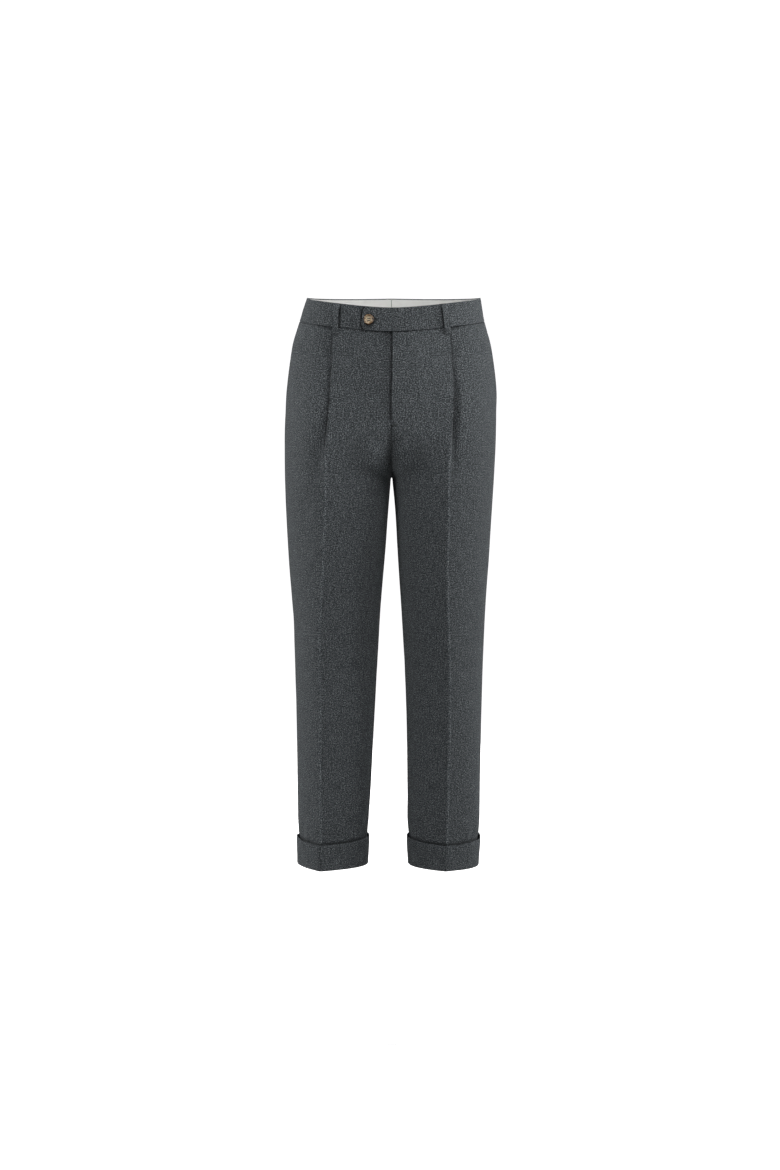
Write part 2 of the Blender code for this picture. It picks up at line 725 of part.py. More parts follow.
def curtains():
    top = BAND_HEIGHT - CURTAIN_TOP_DROP
    rows = np.linspace(top - CURTAIN_HEIGHT, top, CURTAIN_ROWS)
    back = WAIST_HALF - SEAM_GAP / 2.0
    band_wall("curtain_right", -back, -68.0, CURTAIN_COLUMNS, curtain_offset,
              CURTAIN_CLOTH, rows, "curtain_cotton")
    band_wall("curtain_left", 48.0, back, CURTAIN_COLUMNS, curtain_offset,
              CURTAIN_CLOTH, rows, "curtain_cotton")


# ------------------------------------------------------------------ belt loops
def loop_path():
    """Height above the waist seam and stand-off of a loop's middle line, from its
    folded top to its folded foot: it springs clear of the band between them."""
    rest = BAND_PROUD + LAYER_GAP + LOOP_CLOTH / 2.0
    out = rest + LOOP_STAND_OFF
    return np.array([
        (BAND_HEIGHT - 1.5, rest),
        (BAND_HEIGHT - 3.5, rest + 0.3),
        (BAND_HEIGHT - 8.0, out - 0.7),
        (BAND_HEIGHT - 15.0, out),
        (BAND_HEIGHT / 2.0, out + 0.1),
        (5.0, out),
        (-3.0, out - 0.7),
        (LOOP_FOOT + 2.5, rest + 0.3),
        (LOOP_FOOT, rest),
    ])


def belt_loop(name, top_place, foot_place):
    path = loop_path()
    unit, mitre = path_normals(path)
    reach = (LOOP_CLOTH / 2.0 * mitre)[:, None]
    sides = np.linspace(-LOOP_WIDTH / 2.0, LOOP_WIDTH / 2.0, 3)
    share = (path[:, 0] - LOOP_FOOT) / (BAND_HEIGHT - LOOP_FOOT)
    middle = foot_place + (top_place - foot_place) * share
    centre_back = name.endswith("centre_back")
    pair = []
    for edge in (path - unit * reach, path + unit * reach):
        if centre_back:
            run = WAIST_HALF - np.abs(sides)
            s = np.where(sides < 0.0, -run, run)[None, :] + 0.0 * middle[:, None]
        else:
            s = middle[:, None] + sides[None, :]
        pair.append(waist_point(s, edge[:, 0][:, None], edge[:, 1][:, None]))
    return wall(name, pair[0], pair[1], "flannel")


# ------------------------------------------------------------------ turn-ups
def leg_ring(side, z, reach):
    """The closed leg at one height, its corners in line with the panels' own, and
    this far out from the cloth's outer skin."""
    front = Path(side, FRONT, z)
    back = Path(side, BACK, z)
    s, n = front_columns(front, z, 0.0, front.length)
    ring = np.vstack([
        front.at(s, n - CLOTH / 2.0)[:-1],
        back.at(back_columns(back, 0.0, back.length), -CLOTH / 2.0)[:-1],
    ])
    unit, mitre = path_normals(np.vstack([ring[-1:], ring, ring[:1]]))
    return ring + (unit * mitre[:, None])[1:-1] * (reach + CLOTH / 2.0)


def turnup(side):
    """The hem turned up outside the leg: an outer layer, the fold under the leg
    cloth's edge, and a short lip inside."""
    out = SEAM_GAP + CLOTH
    inside = -CLOTH - LAYER_GAP
    profile = (
        (out, None),
        (out + 0.3, HEM + 22.0),
        (out, HEM + 1.4),
        (out - 1.0, HEM),
        (inside - 0.2, HEM),
        (inside - CLOTH, HEM + 1.2),
        (inside - CLOTH, HEM + TURNUP_LIP),
        (inside, HEM + TURNUP_LIP),
        (inside, HEM + CLOTH + 1.0),
        (SEAM_GAP, HEM + CLOTH + 1.0),
        (SEAM_GAP + 0.3, HEM + 22.0),
        (SEAM_GAP, None),
    )
    rings = []
    for reach, z in profile:
        flat = leg_ring(side, TURNUP_TOP_SIDE if z is None else z, reach)
        forward = np.clip(-flat[:, 1] / 66.0, 0.0, 1.0)
        top = TURNUP_TOP_SIDE + (TURNUP_TOP_FRONT - TURNUP_TOP_SIDE) * forward
        height = top if z is None else np.full(len(flat), z)
        rings.append(np.column_stack([side * flat[:, 0], flat[:, 1], height]))
    return ring_wall("turnup_" + side_name(side), np.stack(rings), "flannel")


# ------------------------------------------------------------------ button
def waist_button():
    """A turned disc with a rim and a dished middle, drilled with four holes."""
    turns = 28
    a = np.linspace(0.0, 2.0 * math.pi, turns, endpoint=False)
    points = [(0.0, 0.0, BUTTON_PROFILE[0][1])]
    for radius, height in BUTTON_PROFILE[1:-1]:
        points += [(radius * math.cos(t), radius * math.sin(t), height) for t in a]
    points.append((0.0, 0.0, BUTTON_PROFILE[-1][1]))
    rings = len(BUTTON_PROFILE) - 2
    faces = grid_faces(rings, turns, first=1, close_columns=True)
    last = len(points) - 1
    start = 1 + (rings - 1) * turns
    for k in range(turns):
        after = (k + 1) % turns
        faces.append([0, 1 + after, 1 + k])
        faces.append([last, start + k, start + after])
    disc = add_object("waist_button", points, faces, "horn")

    s, h = BUTTON_PLACE
    lift = BAND_PROUD + TAB_PROUD + BUTTON_SHANK
    place = waist_point(s, h, lift) * MM
    out = waist_point(s, h, lift + 1.0) * MM - place
    out /= np.linalg.norm(out)
    turn = math.atan2(out[0], -out[1])
    disc.location = place
    disc.rotation_euler = (math.pi / 2.0, 0.0, turn)

    for k in range(4):
        x = BUTTON_HOLE_PITCH * (1.0 if k % 2 else -1.0)
        y = BUTTON_HOLE_PITCH * (1.0 if k // 2 else -1.0)
        bpy.ops.mesh.primitive_cylinder_add(vertices=10, radius=BUTTON_HOLE * MM, depth=10.0 * MM)
        drill = bpy.context.object
        drill.name = f"button_drill_{k}"
        drill.parent = disc
        drill.location = (x * MM, y * MM, 1.5 * MM)
        drill.hide_render = True
        drill.display_type = "WIRE"
        cut = disc.modifiers.new(f"hole_{k}", "BOOLEAN")
        cut.operation = "DIFFERENCE"
        cut.solver = "EXACT"
        cut.object = drill
    return disc


# ------------------------------------------------------------------ the garment
def build():
    for old in list(bpy.data.objects):
        bpy.data.objects.remove(old, do_unlink=True)
    for side in (RIGHT, LEFT):
        panel("front_" + side_name(side), side, front_row)
        panel("back_" + side_name(side), side, back_row)
        pocket_facing(side)
        turnup(side)
    fly_shield()
    fly_zip()
    waistbands()
    curtains()
    for name, top_place, foot_place in LOOPS:
        belt_loop(name, top_place, foot_place)
    waist_button()


build()
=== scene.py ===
# %% [markdown]
# # Pleated dress trousers in grey flannel
# Men's dress trousers with one outward-facing pleat on each front, an extended tab that
# buttons across the waist, pressed creases and turn-ups. They stand filled out, as if
# worn, with nobody in them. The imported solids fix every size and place. This script
# dresses them: each piece of cloth is made again as a thin shell on its solid's own
# form, fine enough for rolled edges, sewn seams, pressed creases and soft folds.
# The frame comes first, because each piece rides on it.

# %% Load the frame
import math

import bpy
import numpy as np
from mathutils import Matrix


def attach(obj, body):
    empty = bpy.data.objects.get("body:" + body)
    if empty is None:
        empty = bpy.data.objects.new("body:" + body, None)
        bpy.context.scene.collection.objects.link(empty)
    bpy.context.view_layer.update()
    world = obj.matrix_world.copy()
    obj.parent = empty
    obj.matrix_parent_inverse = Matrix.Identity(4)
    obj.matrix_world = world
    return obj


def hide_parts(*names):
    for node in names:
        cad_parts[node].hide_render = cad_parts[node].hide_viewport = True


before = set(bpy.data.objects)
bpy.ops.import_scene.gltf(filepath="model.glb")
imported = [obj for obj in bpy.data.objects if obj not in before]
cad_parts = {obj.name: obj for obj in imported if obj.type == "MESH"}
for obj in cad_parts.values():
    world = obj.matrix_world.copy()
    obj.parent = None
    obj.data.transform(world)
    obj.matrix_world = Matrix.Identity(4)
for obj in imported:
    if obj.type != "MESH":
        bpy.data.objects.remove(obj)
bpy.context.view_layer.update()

# %% [markdown]
# ## The camera
# A catalogue shot of trousers is taken from a few metres, a little above the knee's
# height, with the picture's sides upright. The camera looks slightly down: the waist's
# far edge shows over the near one, and the hems bow downwards at the front.

# %% Camera
CAMERA_PLACE = (-0.0026, -3.5, -0.18)
CAMERA_DOWN = math.radians(4.891)
CAMERA_LENS = 61.94  # millimetres, on a 36 mm sensor along the picture's height

camera = bpy.data.objects.new("camera", bpy.data.cameras.new("camera"))
bpy.context.scene.collection.objects.link(camera)
camera.data.lens = CAMERA_LENS
camera.data.sensor_width = 36.0
camera.location = CAMERA_PLACE
camera.rotation_euler = (math.pi / 2.0 - CAMERA_DOWN, 0.0, 0.0)
bpy.context.scene.camera = camera
print("camera", CAMERA_PLACE, "looking down", round(math.degrees(CAMERA_DOWN), 2), "degrees")

# %% [markdown]
# ## The cut, in numbers
# A pattern cutter describes trousers by a few widths at named heights. These tables do
# the same: a row for each height, in millimetres, with distances from the middle to the
# outside leg, the inside leg and the crease, and depths to the front and the back. They
# are the solids' own, so that each shell lies where its solid does.

# %% Sizes of the cut
MM = 0.001
CLOTH = 1.2
SEAM_GAP = 0.3
LAYER_GAP = 0.4
BAND_CLOTH = 1.6
BAND_HEIGHT = 39.4
BAND_PROUD = 0.3
CURTAIN_CLOTH = 1.0
CURTAIN_TOP_DROP = 1.9
CURTAIN_HEIGHT = 55.0
WAIST_TOP_FRONT = -5.0
WAIST_TOP_SIDE = 17.6
WAIST_TOP_BACK = 22.4
WAIST_DIP = 0.2
CROTCH = -294.0
HEM = -972.0
PANEL_TOP = -35.0
PANEL_FOOT = HEM + 3.0
SLANT_FADE = 110.0
TORSO_BLEND = (-70.0, -250.0)
RIGHT = -1.0
LEFT = 1.0
FRONT = 0
BACK = 1

SECTION_COLUMNS = (
    "z",
    "right_outer", "right_inner", "right_crease",
    "left_outer", "left_inner", "left_crease",
    "front", "back", "front_power", "back_power",
)
SECTIONS = (
    (24, 143.0, 0.0, 98.0, 152.0, 0.0, 98.0, 112.5, 112.5, 2.00, 2.00),
    (-20, 157.4, 0.0, 98.5, 159.6, 0.0, 98.5, 114.5, 117.0, 2.00, 2.00),
    (-55, 168.0, 0.0, 99.5, 168.7, 0.0, 99.0, 116.5, 122.0, 2.00, 2.00),
    (-90, 174.0, 0.0, 100.5, 175.0, 0.0, 101.5, 119.0, 129.0, 1.95, 2.00),
    (-160, 182.0, 0.0, 104.0, 181.2, 0.0, 104.0, 122.0, 138.0, 1.80, 1.95),
    (-230, 185.0, 0.0, 109.5, 180.5, 0.0, 100.0, 123.5, 135.0, 1.60, 1.85),
    (-294, 184.7, 1.0, 110.5, 177.4, 1.2, 96.0, 123.0, 124.0, 1.50, 1.70),
    (-330, 183.6, 3.8, 111.0, 175.1, 4.7, 96.0, 121.0, 117.5, 1.45, 1.60),
    (-440, 178.3, 12.4, 115.5, 168.6, 11.7, 94.5, 110.0, 102.0, 1.40, 1.45),
    (-541, 170.4, 20.3, 121.5, 162.7, 18.2, 96.5, 97.5, 92.0, 1.38, 1.40),
    (-594, 168.8, 23.2, 123.0, 160.5, 21.2, 98.5, 91.0, 89.0, 1.36, 1.38),
    (-700, 166.5, 28.7, 122.0, 157.6, 26.2, 99.5, 80.5, 85.0, 1.35, 1.36),
    (-806, 165.5, 34.4, 123.0, 155.9, 27.8, 98.0, 72.5, 79.5, 1.34, 1.35),
    (-915, 164.5, 40.9, 122.0, 154.4, 28.8, 96.0, 66.5, 73.0, 1.34, 1.35),
    (-972, 165.0, 42.4, 122.0, 152.4, 30.2, 94.0, 65.0, 71.0, 1.34, 1.35),
)
RISE_COLUMNS = ("z", "front_share", "back_share")
RISE = (
    (-150, 0.996, 0.996),
    (-200, 0.990, 0.985),
    (-230, 0.955, 0.930),
    (-252, 0.860, 0.820),
    (-268, 0.710, 0.690),
    (-280, 0.500, 0.510),
    (-288, 0.270, 0.300),
    (-294, 0.002, 0.002),
)
SEAM_COLUMNS = ("z", "side", "inseam", "inner_power", "right_power", "left_power")
SEAMS = (
    (24, 6.0, 0.0, 2.1, 2.1, 2.1),
    (-90, 9.0, 0.0, 2.1, 2.1, 2.1),
    (-190, 12.0, 0.0, 2.2, 2.1, 2.1),
    (-294, 14.0, 0.3, 3.4, 2.1, 2.1),
    (-480, 16.0, 8.0, 2.5, 2.1, 2.1),
    (-620, 12.0, 15.0, 2.2, 2.1, 2.1),
    (-800, 10.0, 15.0, 2.1, 1.8, 2.3),
    (-972, 9.0, 15.0, 2.1, 1.5, 2.8),
)
PLEAT_COLUMNS = ("z", "under", "step", "spread")
PLEAT = (
    (-35, 14.0, 1.90, 0.0),
    (-110, 10.0, 1.90, 0.0),
    (-160, 6.0, 1.90, 0.0),
    (-190, 2.5, 1.80, 0.0),
    (-212, -1.5, 1.45, 0.4),
    (-238, -3.0, 0.80, 1.2),
    (-262, -4.0, 0.20, 2.0),
    (-294, -4.0, 0.00, 2.0),
)
print("tables:", len(SECTIONS), "levels,", len(PLEAT), "pleat rows,", len(SEAMS), "seam rows")

# %% [markdown]
# ## Reading the tables
# Between two rows a value follows a cubic curve that is flat where the table turns
# round, so no bulge appears that the table doesn't hold. A level section of one leg is
# four quarter rounds, x = c + r cos(t)^(2/a) and y = d sin(t)^(2/b): a power of 2 gives
# an ellipse, and one near 1 gives the edge of a pressed crease.

# %% Curves through the tables
DENSE = 140  # points for each quarter of a section
FULL_DEPTH = 0.9995  # a share nearer 1 than this has no clear angle


def smooth(xs, ys, x):
    """Value at x of cubic pieces through the points, with the spans' mean slopes."""
    order = np.argsort(xs)
    xs = np.asarray(xs, float)[order]
    ys = np.asarray(ys, float)[order]
    spans = np.diff(xs)
    rates = np.diff(ys) / spans
    slopes = np.zeros_like(ys)
    slopes[0] = rates[0]
    slopes[-1] = rates[-1]
    same_way = rates[:-1] * rates[1:] > 0.0
    weighted = (rates[:-1] * spans[1:] + rates[1:] * spans[:-1]) / (spans[:-1] + spans[1:])
    slopes[1:-1] = np.where(same_way, weighted, 0.0)
    x = np.clip(np.asarray(x, float), xs[0], xs[-1])
    i = np.clip(np.searchsorted(xs, x, side="right") - 1, 0, len(spans) - 1)
    t = (x - xs[i]) / spans[i]
    a = ys[i] * (1.0 + 2.0 * t) * (1.0 - t) ** 2
    b = slopes[i] * spans[i] * t * (1.0 - t) ** 2
    c = ys[i + 1] * t**2 * (3.0 - 2.0 * t)
    d = slopes[i + 1] * spans[i] * t**2 * (t - 1.0)
    return a + b + c + d


def column(table, names, name, z):
    """A table's named column at height z."""
    rows = np.array(table, float)
    return smooth(rows[:, 0], rows[:, names.index(name)], z)


def values_at(table, names, keys, z):
    """The table's named values at height z, as plain numbers."""
    return [float(column(table, names, key, z)) for key in keys]


def section(name, z):
    return column(SECTIONS, SECTION_COLUMNS, name, z)


def side_name(side):
    return "left" if side > 0.0 else "right"


def ease(t):
    """0 below 0, 1 above 1, and 3t^2 - 2t^3 between."""
    t = np.clip(t, 0.0, 1.0)
    return t * t * (3.0 - 2.0 * t)


def hump(distance, width):
    """1 in the middle, falling off to both sides as exp(-(d/w)^2)."""
    return np.exp(-((distance / width) ** 2))


def arc_lengths(points):
    steps = np.linalg.norm(np.diff(points, axis=0), axis=1)
    return np.concatenate([[0.0], np.cumsum(steps)])


def respace(points, count):
    """The same path with count evenly spaced points."""
    s = arc_lengths(points)
    wanted = np.linspace(0.0, s[-1], count)
    return np.stack([np.interp(wanted, s, points[:, k]) for k in range(2)], axis=1)


def path_normals(points):
    """Unit normals on the right-hand side of an open path."""
    steps = np.gradient(points, axis=0)
    normals = np.stack([steps[:, 1], -steps[:, 0]], axis=1)
    return normals / np.maximum(np.linalg.norm(normals, axis=1)[:, None], 1e-9)


print("front depth at the knee:", round(float(section("front", -594.0)), 1), "mm")

# %% A level section of one leg


def quarter(centre, reach, depth, powers, start, stop):
    """x = centre + reach cos(t)^(2/a), y = depth sin(t)^(2/b)."""
    t = np.linspace(start, stop, DENSE)
    c = np.clip(np.cos(t), 0.0, 1.0) ** (2.0 / powers[0])
    s = np.clip(np.sin(t), 0.0, 1.0) ** (2.0 / powers[1])
    return np.stack([centre + reach * c, depth * s], axis=1)


def depth_angle(share, power):
    """Angle of a quarter round whose depth there is this share of the full one."""
    return math.asin(min(float(share), FULL_DEPTH) ** (power / 2.0))


def half_section(side, z):
    """Front and back paths of one half at height z, each with its crease's number."""
    name = side_name(side)
    own = (name + "_outer", name + "_inner", name + "_crease")
    outer, inner, crease = values_at(SECTIONS, SECTION_COLUMNS, own, z)
    front, back, front_power, back_power = values_at(
        SECTIONS, SECTION_COLUMNS, ("front", "back", "front_power", "back_power"), z)
    side_fore, inseam_fore, inner_power, side_power = values_at(
        SEAMS, SEAM_COLUMNS, ("side", "inseam", "inner_power", name + "_power"), z)
    back_crease = outer + inner - crease
    front_in = (front_power, inner_power)
    back_in = (back_power, inner_power)
    front_out = (front_power, side_power)
    back_out = (back_power, side_power)
    right_angle = math.pi / 2.0
    side_angle = depth_angle(side_fore / front, side_power)
    if z > CROTCH:
        front_share, back_share = values_at(RISE, RISE_COLUMNS, RISE_COLUMNS[1:], z)
        front_cut = depth_angle(front_share, inner_power)
        back_cut = depth_angle(back_share, inner_power)
        front_reach = crease / math.cos(front_cut) ** (2.0 / front_power)
        back_reach = back_crease / math.cos(back_cut) ** (2.0 / back_power)
        tail = None
    else:
        front_cut = depth_angle(inseam_fore / front, inner_power)
        back_cut = 0.0
        front_reach = crease - inner
        back_reach = back_crease - inner
        tail = quarter(crease, -front_reach, -front, front_in, 0.0, front_cut)
    front_inner = quarter(crease, -front_reach, -front, front_in, front_cut, right_angle)
    front_outer = quarter(crease, outer - crease, -front, front_out, right_angle, side_angle)
    corner = quarter(crease, outer - crease, -front, front_out, side_angle, 0.0)
    back_outer = quarter(back_crease, outer - back_crease, back, back_out, 0.0, right_angle)
    back_inner = quarter(back_crease, -back_reach, back, back_in, right_angle, back_cut)
    if tail is not None:
        back_inner = np.vstack([back_inner, tail[1:]])
    outer_run = np.vstack([corner, back_outer[1:]])
    leg = [respace(run, DENSE) for run in (front_inner, front_outer, outer_run, back_inner)]

    # The waist oval, with the same corners.
    turns = (
        0.0,
        math.asin(crease / outer),
        math.acos(side_fore / front),
        right_angle + math.acos(back_crease / outer),
        math.pi,
    )
    torso = []
    for start, stop in zip(turns, turns[1:]):
        a = np.linspace(start, stop, DENSE)
        depth = np.where(a < right_angle, front, back)
        torso.append(respace(np.stack([outer * np.sin(a), -depth * np.cos(a)], axis=1), DENSE))
    top, foot = TORSO_BLEND
    share = float(ease((z - top) / (foot - top)))
    parts = [(1.0 - share) * t + share * l for t, l in zip(torso, leg)]
    front_path = np.vstack([parts[0], parts[1][1:]])
    back_path = np.vstack([parts[2], parts[3][1:]])
    front_path[:, 0] += SEAM_GAP / 2.0
    back_path[:, 0] += SEAM_GAP / 2.0
    return (front_path, DENSE - 1), (back_path, DENSE - 1)


def waist_top(share):
    """Height of the band's top edge, for 0 at the centre front, 1 at the side seam
    and 2 at the centre back: a round dip, (hypot(share, dip) - dip) to its full, then
    an even climb."""
    share = np.asarray(share, float)
    climb = (np.hypot(share, WAIST_DIP) - WAIST_DIP) / (math.hypot(1.0, WAIST_DIP) - WAIST_DIP)
    fore = WAIST_TOP_FRONT + (WAIST_TOP_SIDE - WAIST_TOP_FRONT) * climb
    aft = WAIST_TOP_SIDE + (WAIST_TOP_BACK - WAIST_TOP_SIDE) * (share - 1.0)
    return np.where(share < 1.0, fore, aft)


def waist_seam(share):
    return waist_top(share) - BAND_HEIGHT


def row_heights(z, share):
    """Rows follow the slanting waist seam at the top and lie level further down."""
    slant = waist_seam(share) - SEAM_GAP - PANEL_TOP
    return z + slant * (1.0 - ease((PANEL_TOP - z) / SLANT_FADE))


print("hem ring, first corner:", np.round(half_section(LEFT, HEM)[0][0][0], 1))

# %% One row of a panel
SLANT_STEPS = 6


class Path:
    """One row of a front or a back, read at any distance along it and any height off
    it. Where rows slant, each point is taken from the section at its own height."""

    def __init__(self, side, which, z):
        points, crease = half_section(side, z)[which]
        s = arc_lengths(points)
        fore = float(column(SEAMS, SEAM_COLUMNS, "side", z))
        if which == FRONT:
            share = s / (s[-1] + fore)
        else:
            share = 1.0 + (s - fore) / (s[-1] - fore)
        self.z = z
        self.side = side
        self.heights = row_heights(z, share)
        low, high = self.heights.min(), self.heights.max()
        if high - low > 0.01:
            levels = np.linspace(low, high, SLANT_STEPS + 1)
            stack = np.stack([half_section(side, level)[which][0] for level in levels])
            place = (self.heights - low) / (high - low) * SLANT_STEPS
            below = np.minimum(place.astype(int), SLANT_STEPS - 1)
            t = (place - below)[:, None]
            j = np.arange(len(points))
            points = (1.0 - t) * stack[below, j] + t * stack[below + 1, j]
        self.points = points
        self.s = arc_lengths(points)
        self.length = self.s[-1]
        self.crease = self.s[crease]
        self.normals = path_normals(points)

    def at(self, s, n=0.0):
        """Points (x, y, z) at distances s along the row and n out from it."""
        s = np.asarray(s, float)
        n = np.asarray(n, float)
        place = np.stack([np.interp(s, self.s, self.points[:, k]) for k in range(2)], axis=-1)
        normal = np.stack([np.interp(s, self.s, self.normals[:, k]) for k in range(2)], axis=-1)
        normal /= np.linalg.norm(normal, axis=-1)[..., None]
        start = self.points[1] - self.points[0]
        start = start / np.linalg.norm(start)
        place = place + np.minimum(s, 0.0)[..., None] * start + n[..., None] * normal
        z = np.interp(s, self.s, self.heights)
        return np.stack([self.side * place[..., 0], place[..., 1], z], axis=-1)


knee = Path(LEFT, FRONT, -594.0)
print("left front at the knee:", round(knee.length, 1), "mm round, crease at", round(knee.crease, 1))

# %% [markdown]
# ## The waist
# The band runs round an oval that slants up from the front to the back. A point on it
# has a distance along the waist from the centre front, a height above the waist seam
# and a distance out from the cloth. The loops, the tab and the button use the same three.

# %% Points on the waist
WAIST_LEVEL = -25.0  # the waist seam's middle height
WAIST_STEPS = 721


def waist_angles():
    """Distance along the half waist against the angle of its oval, on the seam."""
    a = np.linspace(0.0, math.pi, WAIST_STEPS)
    left, right, front, back = values_at(
        SECTIONS, SECTION_COLUMNS, ("left_outer", "right_outer", "front", "back"), WAIST_LEVEL)
    outer = 0.5 * (left + right)
    depth = np.where(a < math.pi / 2.0, front, back)
    return a, arc_lengths(np.stack([outer * np.sin(a), -depth * np.cos(a)], axis=1))


WAIST_ANGLE, WAIST_ARC = waist_angles()
WAIST_HALF = float(WAIST_ARC[-1])
WAIST_SIDE = float(np.interp(math.pi / 2.0, WAIST_ANGLE, WAIST_ARC))


def waist_point(s, h, n):
    """A point s along the waist, h above the waist seam and n out from the cloth."""
    s, h, n = np.broadcast_arrays(*(np.asarray(v, float) for v in (s, h, n)))
    side = np.where(s < 0.0, -1.0, 1.0)
    run = np.abs(s)
    a = np.interp(run, WAIST_ARC, WAIST_ANGLE)
    share = np.where(
        run < WAIST_SIDE,
        run / WAIST_SIDE,
        1.0 + (run - WAIST_SIDE) / (WAIST_HALF - WAIST_SIDE),
    )
    z = waist_seam(share) + h
    outer = np.where(side > 0.0, section("left_outer", z), section("right_outer", z))
    depth = np.where(a < math.pi / 2.0, section("front", z), section("back", z))
    x = outer * np.sin(a)
    y = -depth * np.cos(a)
    nx = np.sin(a) / outer
    ny = -np.cos(a) / depth
    length = np.hypot(nx, ny)
    return np.stack([side * (x + n * nx / length), y + n * ny / length, z], axis=-1)


print("half waist:", round(WAIST_HALF, 1), "mm, side seam at", round(WAIST_SIDE, 1))

# %% [markdown]
# ## Colour and nodes
# Colours are written as sRGB hex values, as a screen shows them, and turned to the
# linear values that Blender computes with. One small function adds a node with its
# settings and links, so each material below reads as a list of steps.

# %% Colour and node helpers


def colour(hex_value):
    """Linear RGBA from an sRGB hex string: ((c + 0.055) / 1.055)^2.4, or c / 12.92 below 0.04."""
    c = np.array([int(hex_value[k:k + 2], 16) for k in (1, 3, 5)]) / 255.0
    linear = np.where(c <= 0.04045, c / 12.92, ((c + 0.055) / 1.055) ** 2.4)
    return (*linear.tolist(), 1.0)


def live(sockets, key):
    """The socket with this number, or the enabled one with this name."""
    if isinstance(key, int):
        return sockets[key]
    return next(socket for socket in sockets if socket.name == key and socket.enabled)


def add(tree, kind, inputs=None, out=None, **settings):
    """Adds a node: settings are its properties, inputs its sockets' values or links.
    Gives back the node, or the output named by out."""
    node = tree.nodes.new(kind)
    for key, value in settings.items():
        setattr(node, key, value)
    for key, value in (inputs or {}).items():
        socket = live(node.inputs, key)
        if isinstance(value, bpy.types.NodeSocket):
            tree.links.new(value, socket)
        else:
            socket.default_value = value
    return node if out is None else live(node.outputs, out)


def new_material(name, **values):
    """A material with a Principled shader whose sockets take these values."""
    made = bpy.data.materials.new(name)
    made.use_nodes = True
    shader = made.node_tree.nodes["Principled BSDF"]
    for socket, value in values.items():
        shader.inputs[socket.replace("_", " ")].default_value = value
    return made, made.node_tree, shader


print("mid grey", [round(v, 3) for v in colour("#808080")[:3]])

# %% [markdown]
# ## Wool flannel
# Flannel is a milled twill: the cloth is washed and brushed until a soft nap hides the
# weave. Fibres of several greys are mixed before spinning, so the colour is a fine
# mottle, with faint streaks along the warp. It has no shine of its own, but the nap
# catches light at grazing angles, which the shader's sheen gives. The twill and nap
# are in the bump, and the mixture of fibres in the base colour. Light and shade are
# also painted into the base colour: a painted highlight on the creases, and painted
# shade and shadow in seams, folds and grooves, under the band, the loops and the button
# and beside the fly. Each piece carries them in one attribute, 1 for painted light and
# -1 for full painted shade.

# %% Patterns of a real size
BAND_WAVE = 2.0 * math.pi / 20.0  # a wave texture's scale times its period
SLANT_WAVE = 2.0 * math.pi / 10.0  # the same, for slanting bands


def clouds(tree, place, size, stretch=(1.0, 1.0, 1.0), turn=0.0, detail=1.0, roughness=0.5):
    """Cloudy values between 0 and 1, about size millimetres apart, on a place that is
    stretched and turned so that they follow the cloth's threads."""
    grain = add(tree, "ShaderNodeMapping", {
        "Vector": place, "Rotation": (0.0, 0.0, turn), "Scale": tuple(s / MM for s in stretch),
    }, out="Vector")
    return add(tree, "ShaderNodeTexNoise", {
        "Vector": grain, "Scale": 1.0 / size, "Detail": detail, "Roughness": roughness,
    }, out="Fac")


def stripes(tree, place, period, direction, **inputs):
    """Even bands between 0 and 1, one for each period in millimetres, along a direction."""
    wave = SLANT_WAVE if direction == "DIAGONAL" else BAND_WAVE
    grain = add(tree, "ShaderNodeMapping", {
        "Vector": place, "Scale": (1.0 / MM, 1.0 / MM, 1.0 / MM),
    }, out="Vector")
    return add(tree, "ShaderNodeTexWave", {
        "Vector": grain, "Scale": wave / period, **inputs,
    }, bands_direction=direction, out="Fac")


def set_stops(ramp, stops):
    """Gives a ramp its (place, hex colour) stops, eased between."""
    ramp.color_ramp.interpolation = "EASE"
    elements = ramp.color_ramp.elements
    elements[0].position = stops[0][0]
    elements[1].position = stops[-1][0]
    for place, _ in stops[1:-1]:
        elements.new(place)
    for element, (_, tint) in zip(elements, stops):
        element.color = colour(tint)
    return ramp.outputs["Color"]


def finish(made, tree, shader, tint, height, strength, distance=0.2):
    """Links a colour and a relief, its distance in mm, and gives the material back."""
    bump = add(tree, "ShaderNodeBump", {
        "Height": height, "Strength": strength, "Distance": distance * MM,
    }, out="Normal")
    tree.links.new(tint, shader.inputs["Base Color"])
    tree.links.new(bump, shader.inputs["Normal"])
    return made


print("wave scale for a band each millimetre:", round(BAND_WAVE, 3), "or slanting", round(SLANT_WAVE, 3))

# %% Flannel
THREAD = 0.9  # mm between twill ribs, softened by the nap
FLECK = 1.7  # mm, a cluster of light or dark fibres
FIBRE = 1.1  # mm, a finer one
WARP = 1.5  # mm, streaks along the warp, where one yarn is a shade off the next
HAIR = 0.7  # mm, single light hairs
NAP = 0.8  # mm, the brushed surface
WITH_WARP = (1.0, 0.8, 1.0)  # fibres lie a little longer along the warp
PAINTED_SHADING_STRENGTH = 0.62  # how much a painted highlight of 1 lightens the colour, and a painted shade of -1 darkens it
